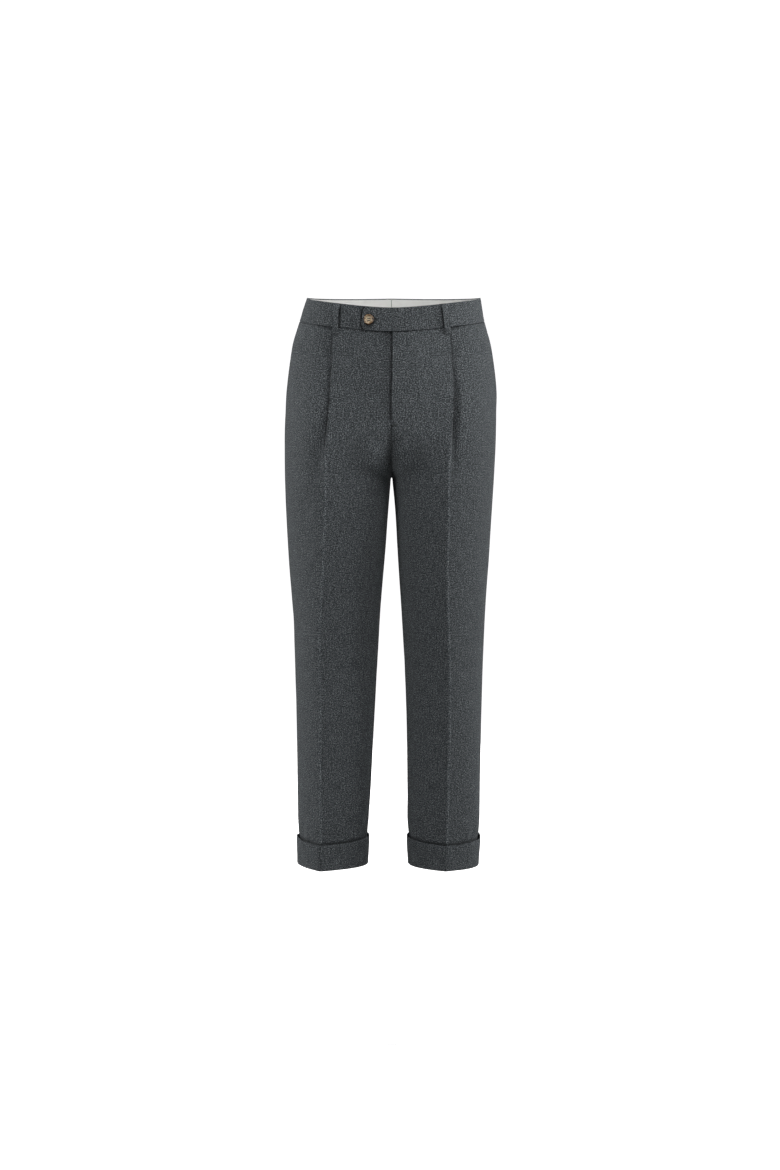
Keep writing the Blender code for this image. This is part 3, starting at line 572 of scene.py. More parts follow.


def flannel(name, dark, middle, light):
    """Milled wool: quite matt, a fine mottle of its fibres, and soft at its outline."""
    made, tree, shader = new_material(
        name, Roughness=0.92, Sheen_Weight=0.28, Sheen_Roughness=0.55,
        Sheen_Tint=colour("#c3c9cc"), Specular_IOR_Level=0.18,
    )
    uv = add(tree, "ShaderNodeUVMap", uv_map="cloth", out="UV")
    fleck = clouds(tree, uv, FLECK, WITH_WARP)
    fibre = clouds(tree, uv, FIBRE, (1.0, 0.7, 1.0), turn=0.5)
    warp = clouds(tree, uv, WARP, (1.0, 0.07, 1.0))
    mixture = add(tree, "ShaderNodeMix", {"Factor": 0.5, "A": fleck, "B": fibre}, out="Result")
    mixture = add(tree, "ShaderNodeMix", {"Factor": 0.14, "A": mixture, "B": warp}, out="Result")
    ramp = add(tree, "ShaderNodeValToRGB", {"Fac": mixture})
    fibres = set_stops(ramp, ((0.38, dark), (0.5, middle), (0.63, light)))
    bright = add(tree, "ShaderNodeMapRange", {
        "Value": clouds(tree, uv, HAIR, (1.0, 0.4, 1.0), turn=0.6),
        "From Min": 0.64, "From Max": 0.76, "To Max": 0.3,
    }, out="Result")
    haired = add(tree, "ShaderNodeMix", {
        "Factor": bright, "A": fibres, "B": colour("#8f9698"),
    }, data_type="RGBA", out="Result")
    # painted light and shade, carried in each piece's attribute, scale the base colour
    painted_shading = add(tree, "ShaderNodeAttribute", attribute_name="painted_shading", out="Fac")
    level = add(tree, "ShaderNodeMath", {
        0: painted_shading, 1: PAINTED_SHADING_STRENGTH, 2: 1.0,
    }, operation="MULTIPLY_ADD", out="Value")
    tint = add(tree, "ShaderNodeVectorMath", {
        "Vector": haired, "Scale": level,
    }, operation="SCALE", out="Vector")
    twill = stripes(tree, uv, THREAD, "DIAGONAL", Distortion=2.0, Detail=1.0)
    nap = clouds(tree, uv, NAP, WITH_WARP, detail=4.0, roughness=0.7)
    relief = add(tree, "ShaderNodeMix", {"Factor": 0.72, "A": twill, "B": nap}, out="Result")
    relief = add(tree, "ShaderNodeMix", {"Factor": 0.4, "A": relief, "B": fleck}, out="Result")
    return finish(made, tree, shader, tint, relief, 0.45, 0.5)


FLANNEL = flannel("grey_wool_flannel", "#15181a", "#404447", "#8b9093")
print("flannel:", len(FLANNEL.node_tree.nodes), "nodes")

# %% [markdown]
# ## The other finishes
# The waistband curtain is plain-woven cotton, off-white and matt. The button is horn,
# turned and polished: a tan middle with a brown, streaked rim, under a clear gloss. The
# zip's tape is woven polyester. The thread is grey, a shade lighter than the cloth, and
# dark on the button and its hole. Each weave is two sets of bands, one for its warp and
# one for its weft.

# %% Cotton, tape and thread
WEAVE = 0.7  # mm between threads of the curtain
COTTON_CLOUD = 9.0  # mm, its faint unevenness
TAPE_RIB = 0.8  # mm between the tape's ribs
TAPE_ROW = 1.2  # mm between its rows
PLY = 0.5  # mm between a thread's twisted plies


def curtain_cotton():
    """Plain weave: matt and evenly pale, its threads just seen in the relief."""
    made, tree, shader = new_material(
        "woven_curtain_cotton", Roughness=0.88, Sheen_Weight=0.1, Specular_IOR_Level=0.3)
    uv = add(tree, "ShaderNodeUVMap", uv_map="cloth", out="UV")
    woven = add(tree, "ShaderNodeMath", {
        0: stripes(tree, uv, WEAVE, "X"), 1: stripes(tree, uv, WEAVE, "Y"),
    }, operation="ADD", out="Value")
    tint = add(tree, "ShaderNodeMix", {
        "Factor": clouds(tree, uv, COTTON_CLOUD, detail=4.0),
        "A": colour("#efefeb"), "B": colour("#f8f8f5"),
    }, data_type="RGBA", out="Result")
    return finish(made, tree, shader, tint, woven, 0.3)


def zip_tape():
    """Woven polyester: ribs and rows, and a little shinier than wool."""
    made, tree, shader = new_material("woven_zip_tape", Roughness=0.6, Specular_IOR_Level=0.4)
    place = add(tree, "ShaderNodeTexCoord", out="Object")
    woven = add(tree, "ShaderNodeMath", {
        0: stripes(tree, place, TAPE_RIB, "X"), 1: stripes(tree, place, TAPE_ROW, "Z"),
    }, operation="MULTIPLY", out="Value")
    tint = add(tree, "ShaderNodeMix", {
        "Factor": woven, "A": colour("#282c2e"), "B": colour("#3c4143"),
    }, data_type="RGBA", out="Result")
    return finish(made, tree, shader, tint, woven, 0.5)


def thread(name, dark, light):
    """Sewing thread: two plies twisted, so fine slanting bands run along it."""
    made, tree, shader = new_material(name, Roughness=0.7, Sheen_Weight=0.15)
    place = add(tree, "ShaderNodeTexCoord", out="Object")
    ply = stripes(tree, place, PLY, "DIAGONAL")
    tint = add(tree, "ShaderNodeMix", {
        "Factor": ply, "A": colour(dark), "B": colour(light),
    }, data_type="RGBA", out="Result")
    return finish(made, tree, shader, tint, ply, 0.4, 0.1)


COTTON = curtain_cotton()
TAPE = zip_tape()
THREAD_GREY = thread("grey_sewing_thread", "#4a4f51", "#6f7577")
THREAD_DARK = thread("dark_button_thread", "#17191a", "#34393b")
print("finishes:", [m.name for m in (FLANNEL, COTTON, TAPE, THREAD_GREY, THREAD_DARK)])

# %% [markdown]
# ## Making cloth
# Real cloth has a thickness, and its edges are rolled where it is turned in. Each piece
# starts as a middle surface: a grid of points, worked out whole. Its normals come from
# the grid itself, so they also turn round inside a fold. The two skins lie half the
# thickness to each side, and close to an edge the thickness shrinks like a half round.

# %% Grids into closed shells
EDGE_RUN = np.array([0.0, 0.1, 0.3, 0.6, 1.0, 1.6, 2.6, 4.0])  # mm from a cut edge


def unit(vectors):
    return vectors / np.maximum(np.linalg.norm(vectors, axis=-1, keepdims=True), 1e-9)


def surface_normals(points):
    """Cross product of the grid's differences along its columns and its rows."""
    return unit(np.cross(np.gradient(points, axis=1), np.gradient(points, axis=0)))


def edge_distance(points, axis):
    """Distance along the grid to the nearer of its two ends on this axis."""
    steps = np.linalg.norm(np.diff(points, axis=axis), axis=-1)
    run = np.cumsum(steps, axis=axis)
    pad = [(0, 0), (0, 0)]
    pad[axis] = (1, 0)
    run = np.pad(run, pad)
    total = run[-1:] if axis == 0 else run[:, -1:]
    return np.minimum(run, total - run)


def rolled(distance, thickness):
    """Half thickness at this distance from an edge: r sqrt(1 - (1 - d/r)^2)."""
    r = thickness / 2.0
    return r * np.sqrt(np.clip(1.0 - (1.0 - np.clip(distance / r, 0.0, 1.0)) ** 2, 0.006, 1.0))


def grid_quads(rows, columns, first=0, close_rows=False, close_columns=False):
    """Corner numbers of the quads of a grid of points, numbered row by row."""
    r = np.arange(rows if close_rows else rows - 1)
    c = np.arange(columns if close_columns else columns - 1)
    r, c = np.meshgrid(r, c, indexing="ij")
    r2 = (r + 1) % rows
    c2 = (c + 1) % columns
    corners = [r * columns + c, r * columns + c2, r2 * columns + c2, r2 * columns + c]
    return np.stack(corners, axis=-1).reshape(-1, 4) + first


def signed_volume(points, faces):
    """Sum of v0 . (v1 x v2) / 6 over the faces' triangles: positive when they face out."""
    total = 0.0
    for k in range(1, faces.shape[1] - 1):
        a, b, c = points[faces[:, 0]], points[faces[:, k]], points[faces[:, k + 1]]
        total += np.sum(a * np.cross(b, c)) / 6.0
    return total


def make_piece(name, points, faces, material, uv=None, marks=None, caps=()):
    """A mesh object from points in millimetres, its faces turned outwards. uv holds a
    place on the cloth for each point, in metres, and marks named values for each point."""
    points = np.asarray(points, float).reshape(-1, 3)
    all_faces = [np.asarray(f) for f in (faces, *caps)]
    if sum(signed_volume(points, f) for f in all_faces) < 0.0:
        all_faces = [f[:, ::-1] for f in all_faces]
    mesh = bpy.data.meshes.new(name)
    mesh.from_pydata((points * MM).tolist(), [], [row for f in all_faces for row in f.tolist()])
    mesh.shade_smooth()
    if uv is not None:
        corners = np.empty(len(mesh.loops), int)
        mesh.loops.foreach_get("vertex_index", corners)
        layer = mesh.uv_layers.new(name="cloth")
        layer.uv.foreach_set("vector", np.asarray(uv, float).reshape(-1, 2)[corners].ravel())
    for key, values in (marks or {}).items():
        mark = mesh.attributes.new(key, "FLOAT", "POINT")
        mark.data.foreach_set("value", np.asarray(values, float).ravel())
    mesh.materials.append(material)
    piece = bpy.data.objects.new(name, mesh)
    bpy.context.scene.collection.objects.link(piece)
    return piece


def shell(name, middle, thickness, material, uv, marks=None):
    """Two skins round a middle surface, closed along a rolled rim."""
    rows, columns, _ = middle.shape
    near = np.minimum(edge_distance(middle, 0), edge_distance(middle, 1))
    reach = (surface_normals(middle).T * rolled(near, thickness).T).T
    points = np.concatenate([(middle + reach).reshape(-1, 3), (middle - reach).reshape(-1, 3)])
    count = rows * columns
    rim = np.concatenate([
        np.arange(columns),
        np.arange(1, rows) * columns + columns - 1,
        (rows - 1) * columns + np.arange(columns - 2, -1, -1),
        np.arange(rows - 2, 0, -1) * columns,
    ])
    after = np.roll(rim, -1)
    faces = np.concatenate([
        grid_quads(rows, columns),
        grid_quads(rows, columns, first=count)[:, ::-1],
        np.stack([after, rim, rim + count, after + count], axis=1),
    ])
    flat = uv.reshape(-1, 2)
    both = {key: np.concatenate([v.ravel(), v.ravel()]) for key, v in (marks or {}).items()}
    return make_piece(name, points, faces, material, np.concatenate([flat, flat]), both)


def surface_area(middle):
    """Area of a grid, in square metres: half the cross product of each quad's diagonals."""
    a = middle[1:, 1:] - middle[:-1, :-1]
    b = middle[1:, :-1] - middle[:-1, 1:]
    return float(np.sum(np.linalg.norm(np.cross(a, b), axis=-1))) / 2.0 * MM * MM


def dress(piece, slot, *nodes):
    """The piece rides on the garment and stands for nodes, whose solids it hides. slot is not used."""
    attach(piece, "root")
    if nodes:
        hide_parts(*nodes)
    return piece


print("edge columns at", EDGE_RUN.tolist(), "mm")

# %% [markdown]
# ## Softness
# Pressed flannel hangs almost smooth, so each fold that shows is placed one by one, in its
# own size. A fold is a soft trough or ridge along a line: exp(-(d/w)^2) across it, with
# a steeper side, and fading at both ends. Places are a distance across from the pressed
# crease and a height, because the crease is what a tailor measures from. Under the
# folds lies a slow unevenness of less than a millimetre, as the cloth's own weight gives.

# %% Folds and unevenness
# Each row: across and height where it starts, the same where it ends, bow, width, depth
# and skew, in millimetres; the skew is a share.
FOLDS = {
    "front_right": (
        # the inner leg's soft turn, drag from the tab, lines above the turn-up
        (-64, -470, -67, -640, 0, 13, 1.6, 0.3),
        (-66, -600, -86, -815, 4, 11, 2.2, 0.3),
        (-50, -52, -30, -165, 5, 13, -0.9, 0.2),
        (-22, -60, -16, -150, 0, 10, 0.7, 0.0),
        (-80, -225, -35, -300, 6, 12, -1.2, 0.2),
        (-98, -320, -40, -420, 8, 14, -1.0, 0.3),
        (40, -300, 52, -420, 0, 16, -0.9, 0.0),
        (46, -884, 50, -922, 1, 5, -1.8, 0.2),
        (34, -888, 37, -924, 0, 4, 1.1, 0.0),
        (-22, -902, -27, -926, 0, 6, -1.3, 0.0),
        (12, -560, 70, -548, 3, 8, -0.7, 0.0),
        (-60, -575, -12, -590, 3, 9, -0.8, 0.0),
    ),
    "front_left": (
        # the fly's stitching draws the cloth, and the pleat opens beside it
        (-64, -44, -62, -140, -2, 4, 1.0, 0.3),
        (-66, -118, -50, -176, 0, 5, 0.9, 0.2),
        (-55, -40, -42, -108, -3, 6, -1.3, 0.3),
        (-42, -96, -44, -232, 3, 7, -1.7, 0.3),
        (-9, -70, -6, -190, 0, 6, 0.9, -0.3),
        (-26, -140, -22, -290, 0, 9, -0.7, 0.0),
        (-99, -176, -82, -204, 0, 4, -0.7, 0.0),
        (-94, -150, -86, -182, 0, 4, 0.5, 0.0),
        (-80, -230, -30, -320, 8, 13, -1.1, 0.2),
        (16, -733, 72, -724, 2, 5, 0.6, 0.0),
        (18, -745, 66, -740, 2, 6, -0.5, 0.0),
        (12, -820, 80, -812, 3, 5, 0.6, 0.0),
        (20, -560, 78, -540, 3, 8, -0.8, 0.0),
        (60, -886, 45, -927, 1, 3.6, -2.4, 0.2),
        (45, -884, 36, -926, 1, 4, 1.3, 0.0),
        (24, -904, 22, -928, 0, 4, -1.0, 0.0),
        (-16, -898, -20, -928, 0, 6, -1.2, 0.0),
        (-52, -900, -48, -926, 0, 5, -0.9, 0.0),
    ),
    "back_right": (
        # drape under the seat, breaks behind the knee and above the turn-up
        (66, -262, -6, -400, 8, 17, -3.2, 0.3),
        (84, -300, 22, -440, 9, 14, -2.3, 0.3),
        (-42, -236, -24, -372, 5, 18, -1.8, 0.0),
        (-58, -574, 30, -600, 5, 11, -2.3, 0.2),
        (-20, -622, 58, -606, 4, 10, -1.8, 0.0),
        (34, -872, 44, -922, 1, 6, -2.4, 0.2),
        (-36, -886, -40, -922, 0, 6, -1.8, 0.0),
    ),
    "back_left": (
        (62, -256, -2, -382, 9, 16, -2.8, 0.3),
        (86, -290, 30, -452, 8, 15, -2.6, 0.3),
        (-38, -244, -28, -400, 4, 19, -1.6, 0.0),
        (-50, -560, 26, -590, 5, 12, -2.0, 0.2),
        (-8, -612, 62, -590, 4, 9, -1.9, 0.0),
        (40, -880, 30, -922, 1, 6, -2.2, 0.2),
        (-30, -878, -44, -922, 0, 5, -2.0, 0.0),
    ),
}
FOLD_FADE = 0.35  # share of a fold over which each end fades
LATTICE = 64


def fold_relief(panel, across, z):
    """Height of the panel's folds: depth exp(-(d/w)^2), d measured from the fold's bowed
    line, w wider on one side by skew, and eased to nothing at both ends."""
    relief = np.zeros_like(across)
    for a0, z0, a1, z1, bow, width, depth, skew in FOLDS[panel]:
        length = math.hypot(a1 - a0, z1 - z0)
        ux, uz = (a1 - a0) / length, (z1 - z0) / length
        t = ((across - a0) * ux + (z - z0) * uz) / length
        d = (across - a0) * -uz + (z - z0) * ux - bow * 4.0 * t * (1.0 - t)
        w = np.where(d > 0.0, width * (1.0 + skew), width * (1.0 - skew))
        relief += depth * hump(d, w) * ease(t / FOLD_FADE) * ease((1.0 - t) / FOLD_FADE)
    return relief


def uneven(u, v, seed):
    """Smooth noise between -1 and 1: random values on a unit lattice, blended with
    t^3 (6t^2 - 15t + 10)."""
    lattice = np.random.default_rng(seed).uniform(-1.0, 1.0, (LATTICE, LATTICE))
    i, j = np.floor(u).astype(int), np.floor(v).astype(int)
    a, b = u - i, v - j
    a = a**3 * (6.0 * a**2 - 15.0 * a + 10.0)
    b = b**3 * (6.0 * b**2 - 15.0 * b + 10.0)
    i, i2 = i % LATTICE, (i + 1) % LATTICE
    j, j2 = j % LATTICE, (j + 1) % LATTICE
    low = lattice[i, j] * (1.0 - a) + lattice[i2, j] * a
    high = lattice[i, j2] * (1.0 - a) + lattice[i2, j2] * a
    return low * (1.0 - b) + high * b


def drape(across, z, edge, seed):
    """Unevenness of a hanging panel, in millimetres: a slow one and a fine one, none at
    the seams, and short puckers just above the turn-up."""
    slow = uneven(across / 46.0 + 9.0, z / 105.0, seed)
    fine = uneven(across / 17.0 + 5.0, z / 34.0, seed + 1)
    pucker = uneven(across / 13.0 + 3.0, z / 30.0, seed + 2)
    above_hem = ease((HEM + 98.0 - z) / 50.0)
    return (0.75 * slow + 0.28 * fine + 0.9 * pucker * above_hem) * ease(edge / 22.0)


fold_rows = [row for rows in FOLDS.values() for row in rows]
print(len(fold_rows), "folds, deepest", min(row[6] for row in fold_rows), "mm")

# %% [markdown]
# ## The fronts
# Each front is one piece from the fly and the inseam to the side seam. Its pleat is
# folded from the waist seam down and opens at about the height of the fly's foot. Across
# one row the cloth runs to the crease line, turns under, runs back, turns again and runs
# on beneath, so a row is a path of distances s and heights n. A cubic B-spline through
# guiding points gives the two folds their round noses. Lower down the same guiding
# points lie in one line, so the pleat opens without a seam in the mesh. Outside the fold
# the cloth below drops into a valley, deepest where the pleat starts to open.

# %% A pleat's path
PLEAT_OPENING_COLUMNS = ("z", "depth", "place", "width", "lift")
PLEAT_OPENING = {
    RIGHT: (
        (-30, 0.4, 3.0, 5.0, 0.3),
        (-90, 1.4, 3.5, 5.0, 0.8),
        (-150, 2.6, 4.0, 5.5, 1.2),
        (-195, 4.0, 6.0, 6.5, 1.4),
        (-225, 4.3, 10.0, 8.5, 1.1),
        (-260, 2.6, 14.0, 11.0, 0.5),
        (-310, 0.0, 17.0, 13.0, 0.0),
    ),
    LEFT: (
        (-30, 0.4, 3.0, 5.0, 0.3),
        (-90, 1.2, 3.5, 4.5, 0.7),
        (-130, 3.0, 5.0, 5.5, 1.1),
        (-165, 5.0, 6.0, 6.5, 1.6),
        (-205, 5.8, 6.5, 7.0, 1.6),
        (-245, 4.2, 6.5, 7.5, 1.1),
        (-290, 1.7, 7.0, 9.0, 0.5),
        (-350, 0.0, 8.0, 10.0, 0.0),
    ),
}
RELEASE = ((0.0, 1.0), (9.0, 1.0), (16.0, 0.70), (26.0, 0.28), (38.0, 0.0), (60.0, 0.0))
SPLINE_STEPS = 3  # points for each span between guiding points


def spline(guides):
    """Cubic B-spline: (P0 + 4 P1 + P2) / 6 at each knot, with its basis between."""
    u = np.linspace(0.0, 1.0, SPLINE_STEPS, endpoint=False)[:, None]
    basis = np.concatenate([
        (1.0 - u) ** 3,
        3.0 * u**3 - 6.0 * u**2 + 4.0,
        -3.0 * u**3 + 3.0 * u**2 + 3.0 * u + 1.0,
        u**3,
    ], axis=1) / 6.0
    spans = np.stack([guides[k:len(guides) - 3 + k] for k in range(4)])
    run = np.einsum("uk,ksd->sud", basis, spans).reshape(-1, guides.shape[1])
    last = (guides[-3] + 4.0 * guides[-2] + guides[-1]) / 6.0
    return np.vstack([run, last])

def padded(guides):
    """Guiding points with one more at each end, so the spline starts and ends on them."""
    return np.vstack([2.0 * guides[0] - guides[1], guides, 2.0 * guides[-1] - guides[-2]])


def release(past):
    """Share of the pleat's depth left this far outside the fold."""
    table = np.array(RELEASE)
    return smooth(table[:, 0], table[:, 1], past)


PLEAT_GUIDES = 22
FOLD_NOSE = 0.45  # mm, radius of the cloth's turn at a folded edge


def pleat_path(z):
    """Distances from the crease and heights through the pleat at one row."""
    under, step = values_at(PLEAT, PLEAT_COLUMNS, ("under", "step"), z)
    turn = FOLD_NOSE
    folded_s = np.array([
        -9.0, -7.0, -5.0, -3.0, -1.2, turn, turn, -1.2, -0.5 * under, 1.2 - under,
        -turn - under, -turn - under, 1.2 - under, 1.0 - 0.75 * under, 0.0, 1.4, 2.6, 3.8,
        5.6, 8.0, 11.0, 13.0,
    ])
    layers = np.array([0, 0, 0, 0, 0, 0.12, 0.88, 1, 1, 1, 1.12, 1.88, *[2] * 10])
    folded_n = -step * layers * release(np.maximum(folded_s, 0.0))
    open_s = np.linspace(folded_s[0], folded_s[-1], PLEAT_GUIDES)
    open_n = -2.0 * step * ease((open_s + 3.0) / 8.0) * release(np.maximum(open_s, 0.0))
    share = float(ease((under + 1.5) / 4.0))
    return spline(np.column_stack([
        share * folded_s + (1.0 - share) * open_s,
        share * folded_n + (1.0 - share) * open_n,
    ]))


NOSE = 4 * SPLINE_STEPS  # column of the upper fold, from the spline's start
SECOND_NOSE = 10 * SPLINE_STEPS
print("pleat:", len(pleat_path(-100.0)), "columns, folded under", PLEAT[0][1], "mm at the waist")

# %% [markdown]
# ## Seams, fly, pockets and creases
# A tailor presses every seam, so it lies in a fine groove. The fly's left front laps over
# the right one, the pocket's mouth stands a little open in the side seam, and the crease
# is pressed until its two sides run flat from it. Each is a depth in millimetres times
# a share between 0 and 1, so it starts and ends softly: a share follows the row's height,
# and what its ease is divided by is the run, in millimetres, over which it comes in.

# %% Shares and grooves of a row
FLY_TOP = -45.0
FLY_FOOT = -200.0
FLY_LAP = 6.0
FLY_EASE = 30.0
FLY_EDGE = 2.0  # the lap's edge stands this far past the middle at its top
FLY_EDGE_RUN = 150.0
LAP_EDGE = 1.6  # where the lap's edge lies on the right front, at the fly's foot
POCKET_TOP = -46.0
POCKET_FOOT = -190.0
POCKET_LIFT = 1.1
POCKET_GAPE = 1.0
TUCK = 1.5  # the seam allowance goes under the band
DITCH = 0.8  # depth of a pressed seam's groove
SEAM_LAP = 0.15  # the two sides of a sewn seam press into each other
SEAM_PULL = 1.8  # mm over which a centre seam's edge is drawn to the middle
CREASE_TENT = 3.4  # mm a pressed crease stands out, its sides running flat from it
CREASE_RUN = 12.0
CREASE_EDGE = 0.4  # and its sharp edge a little more
CUFF_WAIST = 3.0  # the leg is drawn in this much above its turn-up
TURNUP_TOP_SIDE = -921.5
TURNUP_TOP_FRONT = -926.5
TURNUP_FRONT_DEPTH = 66.0  # mm in front of the middle where the front's height holds


def fly_share(z):
    return float(ease((z - FLY_FOOT) / 14.0))


def fly_step(z):
    return float(ease((z - FLY_FOOT) / 24.0 + 1.0))


def pocket_share(z):
    return float(ease((POCKET_TOP - z) / 30.0) * ease((z - POCKET_FOOT) / 45.0))


def tuck(z):
    """The panel's top edge dips in and goes up behind the band."""
    return -TUCK * float(ease((z - PANEL_TOP + 2.6) / 2.6))


def turnup_top(y):
    """Height of the turn-up's top edge, a little lower at the front."""
    fore = np.clip(-y / TURNUP_FRONT_DEPTH, 0.0, 1.0)
    return TURNUP_TOP_SIDE + (TURNUP_TOP_FRONT - TURNUP_TOP_SIDE) * fore


def ditch(distance):
    return -DITCH * hump(distance, 1.1)


def seam_painted_shade(distance):
    """Painted shade in a seam's groove."""
    return -0.8 * hump(distance, 1.3)


def edge_painted_shadow(path, s, z):
    """Painted shadow under the waistband, and painted shade on the leg just above the turn-up."""
    above = z - turnup_top(np.interp(s, path.s, path.points[:, 1]))
    return -0.9 * hump(z - PANEL_TOP, 1.7) - 1.3 * hump(above - 0.8, 2.4)


def draw_to_middle(points, edge, distance, side, share):
    """Draws a centre seam's edge on to the middle plane: exp(-(d/w)^2) of its own way."""
    points[:, 0] -= share * hump(distance, SEAM_PULL) * (points[edge, 0] + SEAM_LAP * side)


def tent(a):
    """The two flat sides of a crease, as pressing leaves them: exp(-|a| / w), its tip rounded over a
    millimetre.
    """
    return np.exp(-(np.hypot(a, 1.0) - 1.0) / CREASE_RUN)


def cuff_waist(path, s, z):
    """The leg draws in just above the turn-up's top edge and comes out again behind it."""
    top = turnup_top(np.interp(s, path.s, path.points[:, 1]))
    wide, close = ease((top + 34.0 - z) / 34.0), ease((top + 7.0 - z) / 8.0)
    return -CUFF_WAIST * (0.4 * wide + 0.6 * close) * ease((z - top + 38.0) / 20.0)


def cloth_places(points, a, z, part=slice(None)):
    """Places on the flat cloth, in metres: along the row from the crease, and the height.
    The crease is looked for in one part of the row, where a grows all the way."""
    run = arc_lengths(points)
    run = run - np.interp(0.0, a[part], run[part])
    return np.column_stack([run, np.full_like(run, z)]) * MM


print("fly from", FLY_TOP, "to", FLY_FOOT, "mm, pocket from", POCKET_TOP, "to", POCKET_FOOT, "mm")

# %% What shapes a front
INNER_COLUMNS = 42
INNER_CROWDING = 1.35  # columns lie closer together towards the fly
OUTER_COLUMNS = 38
FLY_DIP = 1.5  # the right front sinks this much more beside the lap
FLY_GROOVE = 1.8  # and most of all just beside it
FLY_LIFT = 0.9  # and the lap's edge stands this proud
VALLEY = 2.2  # depth of the hollow along the centre seam, below the fly
VALLEY_WIDTH = 9.0
PLEAT_GROOVE = 2.2  # the cloth beside the fold's edge is pressed in this much
PLEAT_PAINTED_SHADE = 1.6  # and this much painted shade beside it
DEEPEST_OPENING = 5.8  # mm, at which the opened pleat's painted shade is darkest
CREASE_TOP = {RIGHT: -205.0, LEFT: -190.0}  # the crease comes in below this height
# painted highlight along the front crease
CREASE_PAINTED_HIGHLIGHT = 0.7
CREASE_OUTER_PAINTED = {RIGHT: 0.1, LEFT: -0.2}  # painted light outside the right crease, painted shade outside the left one
CREASE_INNER_PAINTED_SHADE = 0.12  # and the painted shade just inside each crease
CROTCH_PAINTED_LIGHT = {RIGHT: (1.1, 25.0, 15.0), LEFT: (0.6, 20.0, 14.0)}  # painted light beside the crotch: amount, place and width
# painted shade in the hollow along the centre seam, for each side
VALLEY_PAINTED_SHADE = {RIGHT: 1.0, LEFT: 0.5}
DRAPE_SEED = {(RIGHT, FRONT): 11, (LEFT, FRONT): 21, (RIGHT, BACK): 31, (LEFT, BACK): 41}
TOP_ROWS = np.array([2.6, 1.6, 0.9, 0.4, 0.0, -0.4, -0.8, -1.3, -2.0, -3.0, -4.5]) + PANEL_TOP
CUFF_ROWS = (-906.0, -932.0)  # rows lie closer here, behind the turn-up's top edge
ROWS = np.concatenate([
    TOP_ROWS,
    np.linspace(TOP_ROWS[-1], CUFF_ROWS[0], 246)[1:],
    np.linspace(CUFF_ROWS[0], CUFF_ROWS[1], 20)[1:],
    np.linspace(CUFF_ROWS[1], PANEL_FOOT, 11)[1:],
])
print(len(ROWS), "rows from", ROWS[0], "to", ROWS[-1], "mm")

# %% One row of a front


